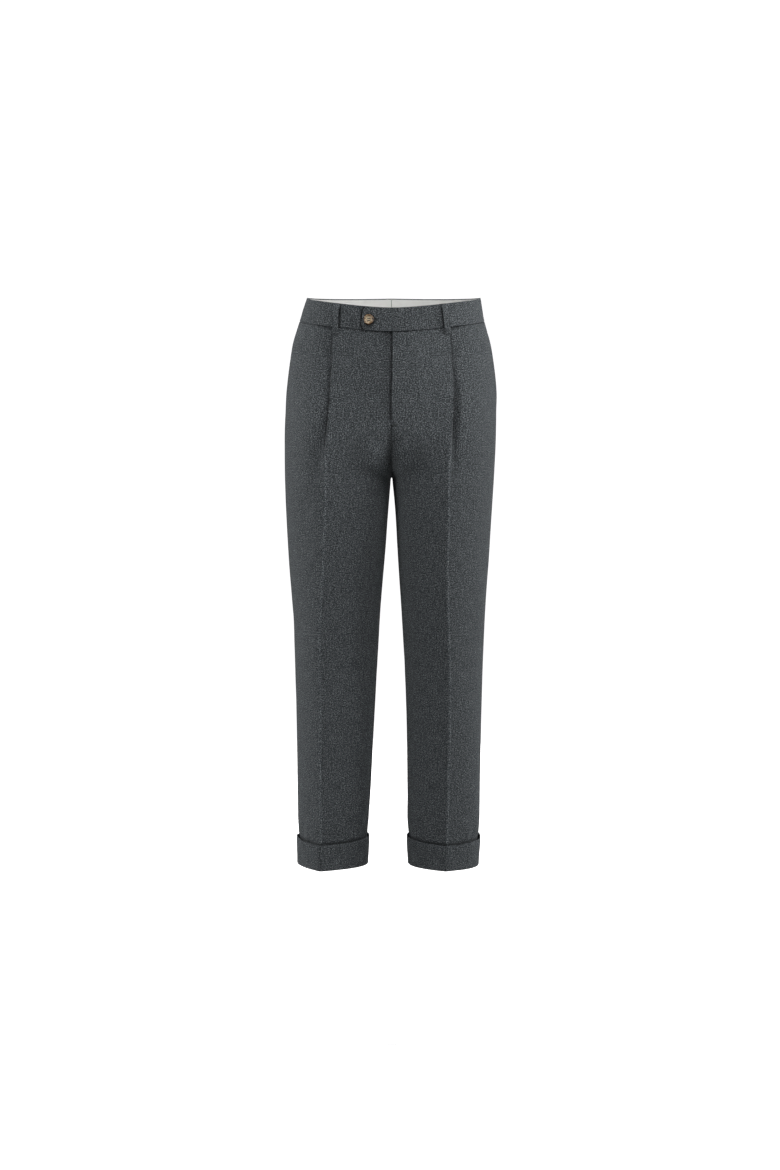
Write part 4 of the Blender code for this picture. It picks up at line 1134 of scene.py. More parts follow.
class FrontRow:
    """One row of a front: its distances along the path, and the shares that both its
    relief and its painted light and shade follow."""

    def __init__(self, side, z):
        self.side = side
        self.z = z
        self.path = path = Path(side, FRONT, z)
        edge_bow = FLY_EDGE * float(ease((z - FLY_FOOT) / FLY_EDGE_RUN))
        lap = FLY_LAP * fly_share(z) if side == RIGHT else -edge_bow
        start = (0.0 if z <= CROTCH else -SEAM_GAP / 2.0) - SEAM_LAP - lap
        self.mouth = pocket_share(z)
        end = path.length + SEAM_LAP - (POCKET_GAPE + SEAM_LAP) * self.mouth
        across, folded = pleat_path(z).T
        reach = path.crease + across[0] - start - EDGE_RUN[-1]
        crowded = np.linspace(0.0, 1.0, INNER_COLUMNS)[1:-1] ** INNER_CROWDING
        inner = start + EDGE_RUN[-1] + reach * crowded
        outer = np.linspace(path.crease + across[-1], end - EDGE_RUN[-1], OUTER_COLUMNS)[1:-1]
        self.s = np.concatenate([
            start + EDGE_RUN, inner, path.crease + across, outer, end - EDGE_RUN[::-1],
        ])
        self.a = self.s - path.crease
        self.to_start = self.s - start
        self.to_end = end - self.s
        first = len(EDGE_RUN) + len(inner)
        self.index = np.arange(len(self.s)) - first
        self.below = ease((self.index - NOSE) / (SECOND_NOSE - NOSE))
        past = np.minimum(self.a[first + len(folded):], RELEASE[-1][0])
        step = float(column(PLEAT, PLEAT_COLUMNS, "step", z))
        self.folded = np.concatenate([np.zeros(first), folded, -2.0 * step * release(past)])
        self.opening = values_at(
            PLEAT_OPENING[side], PLEAT_OPENING_COLUMNS, ("depth", "place", "width", "lift"), z)
        self.grooved = float(ease((-40.0 - z) / 12.0) * ease((z + 268.0) / 70.0))
        self.in_fly = fly_share(z - 16.0)
        self.crease_on = float(ease((CREASE_TOP[side] - z) / 70.0))
        self.lap_edge = LAP_EDGE - edge_bow
        self.valley = float(ease((FLY_FOOT + 12.0 - z) / 40.0) * ease((z - CROTCH - 6.0) / 45.0))

    def relief(self):
        """Heights off the path: the pleat and its opening, folds, crease, fly, valley,
        seams and pocket."""
        a, s, z = self.a, self.s, self.z
        depth, place, width, lift = self.opening
        groove = PLEAT_GROOVE * self.grooved * hump(a - 2.0, 1.3)
        n = self.folded - (depth * hump(a - place, width) + groove) * self.below
        n += lift * np.exp(np.minimum(a, 0.0) / 9.0) * (1.0 - self.below) * (a < 2.0)
        height = np.full_like(a, z)
        edge = np.minimum(self.to_start * (1.0 - 0.45 * self.in_fly), self.to_end)
        n += fold_relief("front_" + side_name(self.side), a, height)
        n += drape(a, height, edge, DRAPE_SEED[self.side, FRONT])
        n += self.crease_on * (CREASE_EDGE * hump(a, 1.1) + CREASE_TENT * tent(a))
        if self.side == RIGHT:
            sunk = CLOTH + LAYER_GAP + FLY_DIP * fly_share(z)
            n -= sunk * fly_step(z) * (1.0 - ease(s / FLY_EASE))
            n -= FLY_GROOVE * fly_share(z) * hump(s - self.lap_edge, 1.6)
        else:
            n += FLY_LIFT * self.in_fly * np.exp(-self.to_start / 7.0)
        n -= VALLEY * self.valley * hump(self.to_start, VALLEY_WIDTH)
        n += (1.0 - self.in_fly) * ditch(self.to_start) + (1.0 - self.mouth) * ditch(self.to_end)
        n += POCKET_LIFT * self.mouth * ease((s - self.path.length + 16.0) / 14.0)
        return n + cuff_waist(self.path, s, z) + tuck(z)

    def painted_shading(self):
        """Painted highlight on the crease, painted shade in seams, folds and the valley, never below -1.
        """
        a, s, z = self.a, self.s, self.z
        depth, place, width, _ = self.opening
        # Painted highlight on the crease, painted light outside the right crease, painted shade outside
        # the left one and painted shade just inside each.
        mark = CREASE_PAINTED_HIGHLIGHT * hump(a, 1.6) * (self.index < SECOND_NOSE)
        mark += CREASE_OUTER_PAINTED[self.side] * np.exp(-np.maximum(a - 2.0, 0.0) / 22.0) * (a > 1.5)
        mark -= CREASE_INNER_PAINTED_SHADE * np.exp(np.minimum(a + 1.5, 0.0) / 14.0) * (a < -1.0)
        # painted shadow under the band and painted shade above the turn-up
        mark = mark * self.crease_on + edge_painted_shadow(self.path, s, z)
        # painted shade in the side seam's and the centre seam's grooves
        mark += (1.0 - self.mouth) * seam_painted_shade(self.to_end)
        mark += (1.0 - self.in_fly) * seam_painted_shade(self.to_start)
        # painted shade in the opened pleat's valley and beside the fold's edge
        mark -= 0.5 * depth / DEEPEST_OPENING * hump(a - place, width) * self.below
        mark -= PLEAT_PAINTED_SHADE * self.grooved * hump(a - 1.7, 2.2)
        # painted shadow of the fly's lap on the right front beside it
        if self.side == RIGHT:
            past_lap = s - self.lap_edge
            mark -= 0.8 * fly_share(z) * hump(past_lap + 1.4, 1.5)
            mark -= 0.48 * fly_share(z) * np.exp(-np.maximum(past_lap, 0.0) / 20.0)
        # painted light beside the crotch, where the cloth turns away from the lights
        amount, middle, spread = CROTCH_PAINTED_LIGHT[self.side]
        beside = float(ease((-215.0 - z) / 30.0) * ease((z + 370.0) / 70.0))
        mark += beside * amount * hump(self.to_start - middle, spread)
        # painted shade in the valley along the centre seam
        mark -= VALLEY_PAINTED_SHADE[self.side] * self.valley * hump(self.to_start, 8.0)
        return np.maximum(mark, -1.0)


def front_row(side, z):
    """One row of a front: its points, places on the cloth and painted light and shade."""
    row = FrontRow(side, z)
    points = row.path.at(row.s, row.relief() - CLOTH / 2.0)
    if z > CROTCH:
        draw_to_middle(points, 0, row.to_start, side, 1.0 - fly_share(z))
    return points, cloth_places(points, row.a, z, row.index < NOSE), row.painted_shading()


print("a front has", len(front_row(LEFT, PANEL_TOP)[0]), "columns")

# %% Make both fronts


def panels(which_name, make_row):
    """Stacks each side's rows into a middle surface and closes it into a shell."""
    for side in (RIGHT, LEFT):
        name = side_name(side)
        middle, uv, painted_shading = (np.stack(part) for part in zip(*(make_row(side, float(z)) for z in ROWS)))
        piece = shell(f"cloth_{which_name}_{name}", middle, CLOTH, FLANNEL, uv, {"painted_shading": painted_shading})
        dress(piece, "flannel", f"{which_name}_{name}")


panels("front", front_row)

# %% [markdown]
# ## The backs
# A back runs from the side seam round to the centre seam above the crotch, and to the
# inseam below it. One dart, about ten centimetres long, takes in the waist in the middle
# of each back, as on most dress trousers. A dart is a fold sewn inside, so only a fine
# groove shows, and it runs out to nothing at its point.

# %% Make both backs
DART_LENGTH = 98.0
DART_PLACE = 0.52  # share of the way from the side seam to the centre back
DART_DEPTH = 0.55
BACK_SIDE_COLUMNS = 34
BACK_CREASE_RUN = np.linspace(-6.0, 6.0, 16)
BACK_CENTRE_COLUMNS = 36
BACK_CREASE_TOP = -330.0


def back_row(side, z):
    """One row of a back, from the side seam."""
    path = Path(side, BACK, z)
    start = -SEAM_LAP
    end = path.length + SEAM_LAP + (0.0 if z <= CROTCH else SEAM_GAP / 2.0)
    crease = path.crease + BACK_CREASE_RUN
    first = np.linspace(start + EDGE_RUN[-1], crease[0], BACK_SIDE_COLUMNS)[1:-1]
    second = np.linspace(crease[-1], end - EDGE_RUN[-1], BACK_CENTRE_COLUMNS)[1:-1]
    s = np.concatenate([start + EDGE_RUN, first, crease, second, end - EDGE_RUN[::-1]])
    a = s - path.crease
    level = np.full_like(a, z)
    edge = np.minimum(s - start, end - s)
    n = fold_relief("back_" + side_name(side), a, level)
    n += drape(a, level, edge, DRAPE_SEED[side, BACK])
    crease_on = float(ease((BACK_CREASE_TOP - z) / 110.0))
    mark = hump(a, 1.4)
    n += crease_on * (CREASE_EDGE * mark + CREASE_TENT * tent(a)) + ditch(s - start) + ditch(end - s)
    dart = hump(s - DART_PLACE * path.length, 1.3) * float(ease((z - PANEL_TOP + DART_LENGTH) / 40.0))
    n += tuck(z) + cuff_waist(path, s, z) - DART_DEPTH * dart
    points = path.at(s, n - CLOTH / 2.0)
    if z > CROTCH:
        draw_to_middle(points, -1, end - s, side, 1.0)
    # painted highlight on the back crease, painted shade in the dart, the seams, under the band and above
    # the turn-up
    painted_shading = 0.35 * mark * crease_on + edge_painted_shadow(path, s, z) - 0.5 * dart
    painted_shading += seam_painted_shade(s - start) + seam_painted_shade(end - s)
    return points, cloth_places(points, a, z), np.maximum(painted_shading, -1.0)


panels("back", back_row)

# %% [markdown]
# ## The waistband
# The band is cloth over a stiff canvas, so it stays smooth and its top edge is a firm
# roll. The left half runs on past the middle as the tab, with a blunt arrow end, and the
# right half passes under it. A slight swell between the belt loops shows that it is
# cloth. The same grid of distance along and height above the seam makes both halves,
# with columns set close at the tab's tip so that its rim is round.

# %% Make both halves of the band
LOOP_WIDTH = 10.0
# Each row: name, and places along the waist at the top and the foot.
LOOPS = (
    ("front_right", -98.5, -92.0),
    ("front_left", 92.5, 92.0),
    ("back_right", -252.0, -250.0),
    ("back_left", 252.0, 250.0),
    ("centre_back", 0.0, 0.0),
)
BUTTON_PLACE = (-37.4, 17.8)  # along the waist, and above the waist seam
BUTTON_SHADOW = 11.4  # radius of the painted shadow round the button on the band
TAB_END = 50.2
TAB_SHOULDER = 44.0
TAB_POINT = 12.0
TAB_PROUD = 1.7
UNDERLAP = 38.0
BAND_EDGE = np.array([0.0, 0.15, 0.4, 0.8, 1.4, 2.4])
BAND_COLUMNS = 400
WALL_COLUMNS = 150
BAND_MIDDLE_ROWS = 12


def edged(low, high, count):
    """Values from low to high, set close at both ends, where a rim is rolled."""
    inner = np.linspace(low + BAND_EDGE[-1], high - BAND_EDGE[-1], count)[1:-1]
    return np.concatenate([low + BAND_EDGE, inner, high - BAND_EDGE[::-1]])


def right_band_offset(s):
    """Dips in before the tab's end, and again at the fly, to pass under the left half."""
    return BAND_PROUD - 1.0 * ease((s + 66.0) / 12.0) - 1.1 * ease((s + 30.0) / 30.0)


def left_band_offset(s):
    """Rises on to the right half near the middle and stays proud along the tab."""
    return BAND_PROUD + TAB_PROUD * (1.0 - ease((s - 15.0) / 30.0))


def tab_edge(h):
    """The tab's blunt arrow: its tip is upright, and both corners are cut away."""
    from_edge = np.minimum(h, BAND_HEIGHT - h)
    softened = TAB_POINT * ease(np.sqrt(np.clip(from_edge / TAB_POINT, 0.0, 1.0)) * 0.93 + 0.07)
    return -(TAB_SHOULDER + (TAB_END - TAB_SHOULDER) * softened / TAB_POINT)


def band_painted_shading(s, h):
    """Painted light and shade on the band: painted shadow under each belt loop and round
    the button, a painted shade over the front, and painted light further round the left
    half. The two halves add a painted shadow at the tab's end and a highlight on its edge."""
    shadowed = np.zeros_like(s)
    for name, top_place, foot_place in LOOPS:
        place = foot_place + (top_place - foot_place) * h / BAND_HEIGHT
        off = WAIST_HALF - np.abs(s) if name == "centre_back" else np.abs(s - place)
        shadowed = np.maximum(shadowed, ease((LOOP_WIDTH / 2.0 + 1.4 - off) / 1.8))
    from_button = np.hypot(s - BUTTON_PLACE[0], h - BUTTON_PLACE[1])
    shadowed = np.maximum(shadowed, ease((BUTTON_SHADOW - from_button) / 2.4))
    return 0.26 * ease((s - 60.0) / 60.0) - 0.14 - 0.9 * shadowed


def right_band_painted_shading(s, h):
    # painted shadow on the right half along the tab's end
    return band_painted_shading(s, h) - 1.5 * hump(s - tab_edge(h) + 1.2, 2.2)


def left_band_painted_shading(s, h):
    # painted highlight on the tab's own edge
    return band_painted_shading(s, h) + 0.5 * hump(s - tab_edge(h) - 0.8, 1.0)


def flat_places(across, up):
    """Places on the flat cloth, in metres, for each point of a grid."""
    return np.stack(np.broadcast_arrays(across, up), axis=-1) * MM


def waist_wall(name, starts, stops, heights, offset, thickness, material, columns, shade=None):
    """A wall on the waist, its ends given for each height."""
    h = heights[:, None]
    first = np.broadcast_to(starts, heights.shape)[:, None]
    last = np.broadcast_to(stops, heights.shape)[:, None]
    share = np.linspace(0.0, 1.0, columns)[None, :]
    inner = first + BAND_EDGE[-1] + (last - first - 2.0 * BAND_EDGE[-1]) * share
    near, far = first + BAND_EDGE[:-1], last - BAND_EDGE[-2::-1]
    s = np.concatenate([near, inner, far], axis=1)
    middle = waist_point(s, h, offset(s, h) - thickness / 2.0)
    marks = {"painted_shading": shade(s, h)} if shade else None
    piece = shell(name, middle, thickness, material, flat_places(s, h), marks)
    width = float(np.max(np.linalg.norm(np.diff(middle, axis=1), axis=-1).sum(axis=1))) * MM
    height = float(heights[-1] - heights[0]) * MM
    area = surface_area(middle)
    print(f"{name}: {width * 1000:.0f} x {height * 1000:.0f} mm, {area:.4f} square metres")
    return piece, (width, height), area


def band_swell(s, h, seed):
    """Half a millimetre of softness, none at the two long edges."""
    from_edge = np.minimum(h, BAND_HEIGHT - h)
    wave = uneven(s / 31.0 + 20.0, h / 22.0 + 4.0, seed)
    return 0.4 * wave * ease(from_edge / 9.0)


band_rows = edged(0.0, BAND_HEIGHT, BAND_MIDDLE_ROWS)
back_end = WAIST_HALF - SEAM_GAP / 2.0
band_right, flat, area = waist_wall(
    "band_right", -back_end, UNDERLAP, band_rows,
    lambda s, h: right_band_offset(s) + band_swell(s, h, 51) * ease((-s - 66.0) / 20.0),
    BAND_CLOTH, FLANNEL, BAND_COLUMNS, right_band_painted_shading)
dress(band_right, "flannel", "waistband_right")
band_left, flat, area = waist_wall(
    "band_left", tab_edge(band_rows), back_end, band_rows,
    lambda s, h: left_band_offset(s) + band_swell(s, h, 52),
    BAND_CLOTH, FLANNEL, BAND_COLUMNS, left_band_painted_shading)
dress(band_left, "flannel", "waistband_left")

# %% [markdown]
# ## The waistband curtain
# Inside the band hangs a curtain of off-white cotton cut on the bias. It is a little
# longer than the band it is sewn to, so it lies in slight slanting creases. It stops
# short of the centre back seam, so that the waist can be let out there, and the band's
# own cloth shows as a narrow grey strip between the two halves.

# %% Make the curtains
CURTAIN_ROWS = 22
CURTAIN_SPLIT = 0.25  # each half stops this far from the centre back


def curtain_offset(s, h):
    """Close behind the band at its top, clear of the pleats' layers below, and creased."""
    top = BAND_PROUD - BAND_CLOTH - LAYER_GAP
    slant = uneven((s + 0.45 * h) / 9.0 + 30.0, h / 40.0 + 7.0, 61)
    slow = uneven(s / 30.0 + 11.0, h / 17.0 + 3.0, 62)
    free = ease((BAND_HEIGHT - h) / 14.0)
    return top - 4.6 * ease((BAND_HEIGHT - h) / 36.0) - 0.7 * free * (slant + 1.0) - 0.4 * free * slow


curtain_top = BAND_HEIGHT - CURTAIN_TOP_DROP
curtain_rows = edged(curtain_top - CURTAIN_HEIGHT, curtain_top, CURTAIN_ROWS)
for name, start, stop in (
    ("right", -back_end + CURTAIN_SPLIT, -68.0),
    ("left", 48.0, back_end - CURTAIN_SPLIT),
):
    piece, flat, area = waist_wall(
        "cotton_curtain_" + name, start, stop, curtain_rows, curtain_offset,
        CURTAIN_CLOTH, COTTON, WALL_COLUMNS)
    dress(piece, "curtain_cotton", "curtain_" + name)

# %% [markdown]
# ## Belt loops
# A belt loop is a strip folded in three, about ten millimetres wide, sewn into the
# band's top edge and tacked down just below the waist seam. Between the two it stands
# off the band far enough for a belt. The strip's middle line runs over guiding points
# of height and stand-off, and each loop leans and bulges by its own small amount.

# %% Make the belt loops
LOOP_CLOTH = 1.4
LOOP_STAND_OFF = 4.6
LOOP_FOOT = -10.5
LOOP_POINTS = 90
LOOP_ACROSS = 7
LOOP_SEED = 71
ON_CLOTH = (300.0, 40.0)  # mm across the cloth, where the first loop and each next one is cut


def loop_line():
    """Heights and stand-offs of the loop's middle line, through its guiding points."""
    rest = BAND_PROUD + LAYER_GAP + LOOP_CLOTH / 2.0
    out = rest + LOOP_STAND_OFF
    double = rest + LOOP_CLOTH + 0.15
    top, foot = BAND_HEIGHT, LOOP_FOOT
    guides = np.array([
        (top - 1.5, rest), (top - 3.5, rest + 0.3), (top - 8.0, out - 0.7), (top - 15.0, out),
        (top / 2.0, out + 0.1), (5.0, out), (-3.0, out - 0.3), (foot + 3.0, double + 0.2),
        (foot + 0.9, double), (foot, double - 0.3), (foot, rest + 0.3), (foot + 0.9, rest),
        (foot + 3.0, rest), (foot + 6.0, rest),
    ])
    return respace(spline(padded(guides)), LOOP_POINTS)


def belt_loop(name, top_place, foot_place, seed):
    line = loop_line()
    from_end = arc_lengths(line)
    length = from_end[-1]
    dense = edged(0.0, length, LOOP_POINTS)
    line = np.stack([np.interp(dense, from_end, line[:, k]) for k in range(2)], axis=1)
    half = LOOP_WIDTH / 2.0
    across = edged(-half, half, LOOP_ACROSS)
    share = (line[:, 0] - LOOP_FOOT) / (BAND_HEIGHT - LOOP_FOOT)
    place = foot_place + (top_place - foot_place) * share
    sway = 0.35 * uneven(dense / 16.0, 0.0 * dense + seed, seed)
    crown = 0.22 * (1.0 - (across / half) ** 2)
    swell = 0.18 * uneven(dense[:, None] / 7.0, across[None, :] / 4.0 + 8.0, seed + 1)
    fixed = ease(np.minimum(dense, length - dense) / 7.0)[:, None]
    s = (place + sway * fixed[:, 0])[:, None] + across[None, :]
    n = line[:, 1][:, None] + (crown[None, :] + swell) * fixed
    if name == "centre_back":
        s = np.where(s < 0.0, -1.0, 1.0) * (WAIST_HALF - np.abs(s))
    middle = waist_point(s, line[:, 0][:, None], n)
    uv = flat_places(across[None, :] + ON_CLOTH[0] + ON_CLOTH[1] * seed, dense[:, None])
    piece = shell("loop_" + name, middle, LOOP_CLOTH, FLANNEL, uv)
    dress(piece, "flannel", "belt_loop_" + name)
    return length


for number, (name, top_place, foot_place) in enumerate(LOOPS):
    length = belt_loop(name, top_place, foot_place, LOOP_SEED + 3 * number)
print("five loops,", round(float(length), 1), "mm long")

# %% [markdown]
# ## Turn-ups
# The hem is folded up outside the leg, 46 to 50 millimetres high, and caught at the seams
# only. The pressed crease runs on through it. Its top edge stands a little off the leg,
# more in some places than in others, and that uneven gap draws its dark line, together
# with painted shade on the leg just above it.
# The ring is the leg's own section moved out; its profile goes down the outside, round
# the fold at the foot, and up as a short lip inside.

# %% A turn-up's profile
TURNUP_HEIGHT = 48.0
TURNUP_LIP = 12.0
TURNUP_STAND = 1.0  # its top edge stands this much further off all round
TURNUP_LEVEL = -900.0  # the ring keeps this level's section where it reaches above it
# Where the top edge stands off most: across from the crease, width and how far, in mm.
FLARES = {
    (RIGHT, FRONT): ((-25, 10, 2.6), (45, 8, 2.0), (-58, 14, 0.8)),
    (LEFT, FRONT): ((-40, 9, 1.2), (-8, 9, 1.9), (22, 9, 1.6), (46, 7, 2.4)),
    (RIGHT, BACK): ((-30, 12, 1.9), (36, 14, 1.3)),
    (LEFT, BACK): ((-38, 12, 1.7), (24, 13, 1.7)),
}


def arc(x, y, rx, ry, start, stop, count):
    """Points of an ellipse's arc: (x + rx cos(t), y + ry sin(t))."""
    t = np.linspace(start, stop, count)
    return np.column_stack([x + rx * np.cos(t), y + ry * np.sin(t)])


def turnup_profile():
    """Reaches out from the leg and heights below the top edge, from its inner side."""
    out = SEAM_GAP + CLOTH
    r = CLOTH / 2.0
    inside = -CLOTH - LAYER_GAP
    foot = -TURNUP_HEIGHT
    down = np.linspace(-2.0, foot + 2.8, 16)
    up = np.linspace(foot + 8.0, -1.8, 9)
    return np.vstack([
        arc(SEAM_GAP + r, -r, r, r, math.pi, 0.0, 7),
        np.column_stack([out + 0.3 * np.sin(math.pi * (down / foot)), down]),
        arc(out - 1.7, foot + 1.9, 1.7, 1.9, 0.0, -math.pi / 2.0, 6),
        arc(inside + 0.1, foot + 1.3, 1.2, 1.3, -math.pi / 2.0, -math.pi, 5),
        arc(inside - r, foot + TURNUP_LIP - r, r, r, math.pi, 0.0, 6),
        [(inside, foot + 4.5), (inside + 0.35, foot + 2.4)],
        [(SEAM_GAP - 0.35, foot + 2.4), (SEAM_GAP, foot + 4.5)],
        np.column_stack([np.full_like(up, SEAM_GAP), up]),
    ])


print("turn-up profile:", len(turnup_profile()), "points")

# %% Make the turn-ups
RING_COLUMNS = {FRONT: 110, BACK: 90}
RING_MEASURED = 10  # the profile's point, on the outside, where its girth is taken
TURNUP_PUT = (500.0, 900.0)  # mm, where it lies on the flat cloth


def turnup_run(side, which, reach, share):
    """Points of the leg's own section, moved out by the reach, at a share of the height."""
    z = HEM + share * (TURNUP_TOP_SIDE - 1.5 - HEM)
    path = Path(side, which, float(np.clip(z, HEM, TURNUP_LEVEL)))
    t = np.linspace(0.0, 1.0, RING_COLUMNS[which], endpoint=False)
    beyond = path.crease + (path.length - path.crease) * (2.0 * t - 1.0)
    s = np.where(t < 0.5, path.crease * 2.0 * t, beyond)
    a = s - path.crease
    to_seam = np.minimum(s, path.length - s)
    free = ease(to_seam / 12.0)
    out = np.full_like(a, reach)
    if reach > 0.0:
        out += TURNUP_STAND * ease((share - 0.2) / 0.8)
        for place, width, amount in FLARES[side, which]:
            out += amount * hump(a - place, width) * ease((share - 0.55) / 0.45)
        out += 0.35 * uneven(a / 19.0 + 40.0, share * 2.0 + a * 0.0, 81 + which) * free
        out += CREASE_TENT * tent(a) - 0.5 * hump(to_seam, 1.2) * (reach > 0.8)
    points = path.at(s, out)
    wave = 0.35 * uneven(a / 24.0 + 12.0, 0.0 * a + 2.0, 84 + which) * free
    points[:, 2] = HEM + (turnup_top(points[:, 1]) + wave * share - HEM) * share
    return points


def turnup(side):
    name = side_name(side)
    profile = turnup_profile()
    rings = np.stack([
        np.vstack([turnup_run(side, which, reach, 1.0 + below / TURNUP_HEIGHT) for which in (FRONT, BACK)])
        for reach, below in profile
    ])
    girth = rings[RING_MEASURED]
    along = np.cumsum(np.linalg.norm(np.diff(girth, axis=0, prepend=girth[-1:]), axis=1))
    drop = arc_lengths(profile)
    uv = flat_places(along[None, :] + TURNUP_PUT[0], TURNUP_PUT[1] - drop[:, None])
    faces = grid_quads(*rings.shape[:2], close_rows=True, close_columns=True)
    piece = make_piece("turnup_cloth_" + name, rings, faces, FLANNEL, uv)
    dress(piece, "flannel", "turnup_" + name)
    print(piece.name, round(float(along[-1]), 1), "mm round,", len(faces), "quads")


for side in (RIGHT, LEFT):
    turnup(side)

# %% [markdown]
# ## Pockets and fly
# The side pockets open in the side seam: only the edge of the front, standing off a
# little, and the facing behind it show. Behind the fly hang the closed zip and the
# shield that keeps it off the shirt. They hardly show, and are finished plainly.

# %% Make the pocket facings
FACING_WIDTH = 30.0
FACING_PUT = 700.0  # mm, where it lies on the flat cloth


def on_path(side, s, z, n):
    """Middle surface points at distances s, heights z and n out from a front's skin."""
    return np.stack([Path(side, FRONT, float(h)).at(s[k], n[k]) for k, h in enumerate(z)])


def pocket_facing(side):
    z = edged(POCKET_FOOT + 4.0, POCKET_TOP, 48)[::-1]
    ends = np.array([Path(side, FRONT, float(h)).length for h in z])
    from_seam = np.concatenate([
        SEAM_GAP / 2.0 + BAND_EDGE, np.linspace(4.0, FACING_WIDTH - 2.0, 9),
        FACING_WIDTH - BAND_EDGE[-2::-1] * 0.5,
    ])
    s = ends[:, None] - from_seam[None, :]
    middle = on_path(side, s, z, np.full_like(s, -1.5 * CLOTH - LAYER_GAP))
    uv = flat_places(from_seam[None, :] + FACING_PUT, z[:, None])
    piece = shell("pocket_cloth_" + side_name(side), middle, CLOTH, FLANNEL, uv)
    dress(piece, "flannel", "pocket_facing_" + side_name(side))


for side in (RIGHT, LEFT):
    pocket_facing(side)
print("pocket facings", FACING_WIDTH, "mm wide")

# %% Make the shield and the zip
SHIELD_REACH = (-14.0, 36.0)
SHIELD_DEPTH = 5.1
SHIELD_FOOT = 0.35
SHIELD_CURVE = 40.0
SHIELD_PUT = 800.0  # mm, where it lies on the flat cloth
ZIP_REACH = (9.0, 29.0)
ZIP_DEPTH = 1.7
ZIP_TAPE = 1.0
ZIP_CHAIN_WIDTH = 5.0
ZIP_CHAIN = 2.4
COIL_PITCH = 1.4


def fly_grid(reach, columns, z):
    """Distances from the middle, the same in every row, set close at both sides."""
    start, stop = reach
    rim = BAND_EDGE / (stop - start)
    share = np.concatenate([rim[:-1], np.linspace(0.05, 0.95, columns), 1.0 - rim[-2::-1]])
    return np.tile(start + (stop - start) * share, (len(z), 1))


def fly_piece(name, x, z, depth, look, node, put):
    """A shell behind the left front, this deep under its skin. look is its thickness,
    material and slot."""
    thickness, material, slot = look
    middle = on_path(LEFT, x, z, -depth - thickness / 2.0)
    piece = shell(name, middle, thickness, material, flat_places(x + put, z[:, None]))
    dress(piece, slot, node)


def fly_shield():
    z = edged(FLY_FOOT + 4.0, FLY_TOP - 2.0, 40)[::-1]
    x = fly_grid(SHIELD_REACH, 14, z)
    foot = ease((z - z[-1]) / SHIELD_CURVE)[:, None]
    x = SHIELD_REACH[0] + (x - SHIELD_REACH[0]) * (SHIELD_FOOT + (1.0 - SHIELD_FOOT) * foot)
    fly_piece("fly_shield_cloth", x, z, np.full_like(x, SHIELD_DEPTH),
              (CLOTH, FLANNEL, "flannel"), "fly_shield", SHIELD_PUT)


def fly_zip():
    """Tapes with the closed coil raised between them: its turns lean alternately."""
    z = np.linspace(FLY_TOP - 8.0, FLY_FOOT + 22.0, 420)
    x = fly_grid(ZIP_REACH, 26, z)
    off = x - 0.5 * sum(ZIP_REACH)
    chain = ease((ZIP_CHAIN_WIDTH / 2.0 + 0.3 - np.abs(off)) / 0.6)
    turn = 0.5 + 0.5 * np.cos(2.0 * math.pi * (z[:, None] / COIL_PITCH + 0.25 * np.sign(off)))
    proud = (ZIP_CHAIN - ZIP_TAPE) / 2.0
    depth = ZIP_DEPTH + proud - 0.5 * chain * proud * (0.55 + 0.45 * turn)
    fly_piece("zip_tapes", x, z, depth,
              (ZIP_TAPE, TAPE, "zip_tape"), "fly_zip", 0.0)


fly_shield()
fly_zip()
print("shield", SHIELD_REACH, "and zip", ZIP_REACH, "mm from the middle")

# %% [markdown]
# ## Stitches
# Few stitches show on dress trousers: the curved row that holds the fly's facing, the
# tacks at the ends of the fly and the pockets, and the buttonhole. Each stitch is a
# small bead of thread, longer than it is wide, and one template is copied along a line.

# %% Beads of thread
STITCH_ROWS = 5
STITCH_SIDES = 6


def bead():
    """A spindle of unit length and width, sqrt(1 - u^2) wide at u, with two poles."""
    u = np.linspace(-0.9, 0.9, STITCH_ROWS)
    angle = np.linspace(0.0, 2.0 * math.pi, STITCH_SIDES, endpoint=False)
    width = np.sqrt(1.0 - u**2)[:, None]
    ring = np.stack([u[:, None] + 0.0 * angle, width * np.cos(angle), width * np.sin(angle)], axis=-1)
    return np.vstack([[(-1.0, 0.0, 0.0)], ring.reshape(-1, 3), [(1.0, 0.0, 0.0)]])


def stitches(name, starts, ends, outs, radius, material):
    """Beads from starts to ends, this thick, lying on the surface that outs point from."""
    template = bead()
    size = len(template)
    centre = (starts + ends) / 2.0
    run = (ends - starts) / 2.0
    out = unit(outs)
    across = unit(np.cross(run, out))
    axes = np.stack([run, radius * across, radius * out], axis=1)
    points = centre[:, None, :] + np.einsum("tk,nkx->ntx", template, axes)
    first = np.arange(len(centre))[:, None, None] * size

    def in_all(faces):
        return (faces[None] + first).reshape(-1, faces.shape[1])

    k = np.arange(STITCH_SIDES)
    k2 = (k + 1) % STITCH_SIDES
    last = 1 + (STITCH_ROWS - 1) * STITCH_SIDES
    quads = in_all(grid_quads(STITCH_ROWS, STITCH_SIDES, first=1, close_columns=True))
    nose = in_all(np.stack([0 * k, 1 + k2, 1 + k], axis=1))
    tail = in_all(np.stack([0 * k + size - 1, last + k, last + k2], axis=1))
    return make_piece(name, points, quads, material, caps=(nose, tail))


def front_surface(side, s, z, lift):
    """Points on a finished front's outer skin, and the directions out of it."""
    points, outs = [], []
    for distance, height in zip(s, z):
        path = Path(side, FRONT, float(height))
        row, _, _ = front_row(side, float(height))
        base = path.at(distance)
        near = np.argsort(np.linalg.norm(row[:, :2] - base[:2], axis=1))[:2]
        out = path.at(distance, 1.0) - base
        depth = np.mean((row[near] - base) @ out)
        points.append(base + out * (depth + CLOTH / 2.0 + lift))
        outs.append(out)
    return np.array(points), np.array(outs)


print("a bead of thread:", len(bead()), "points")

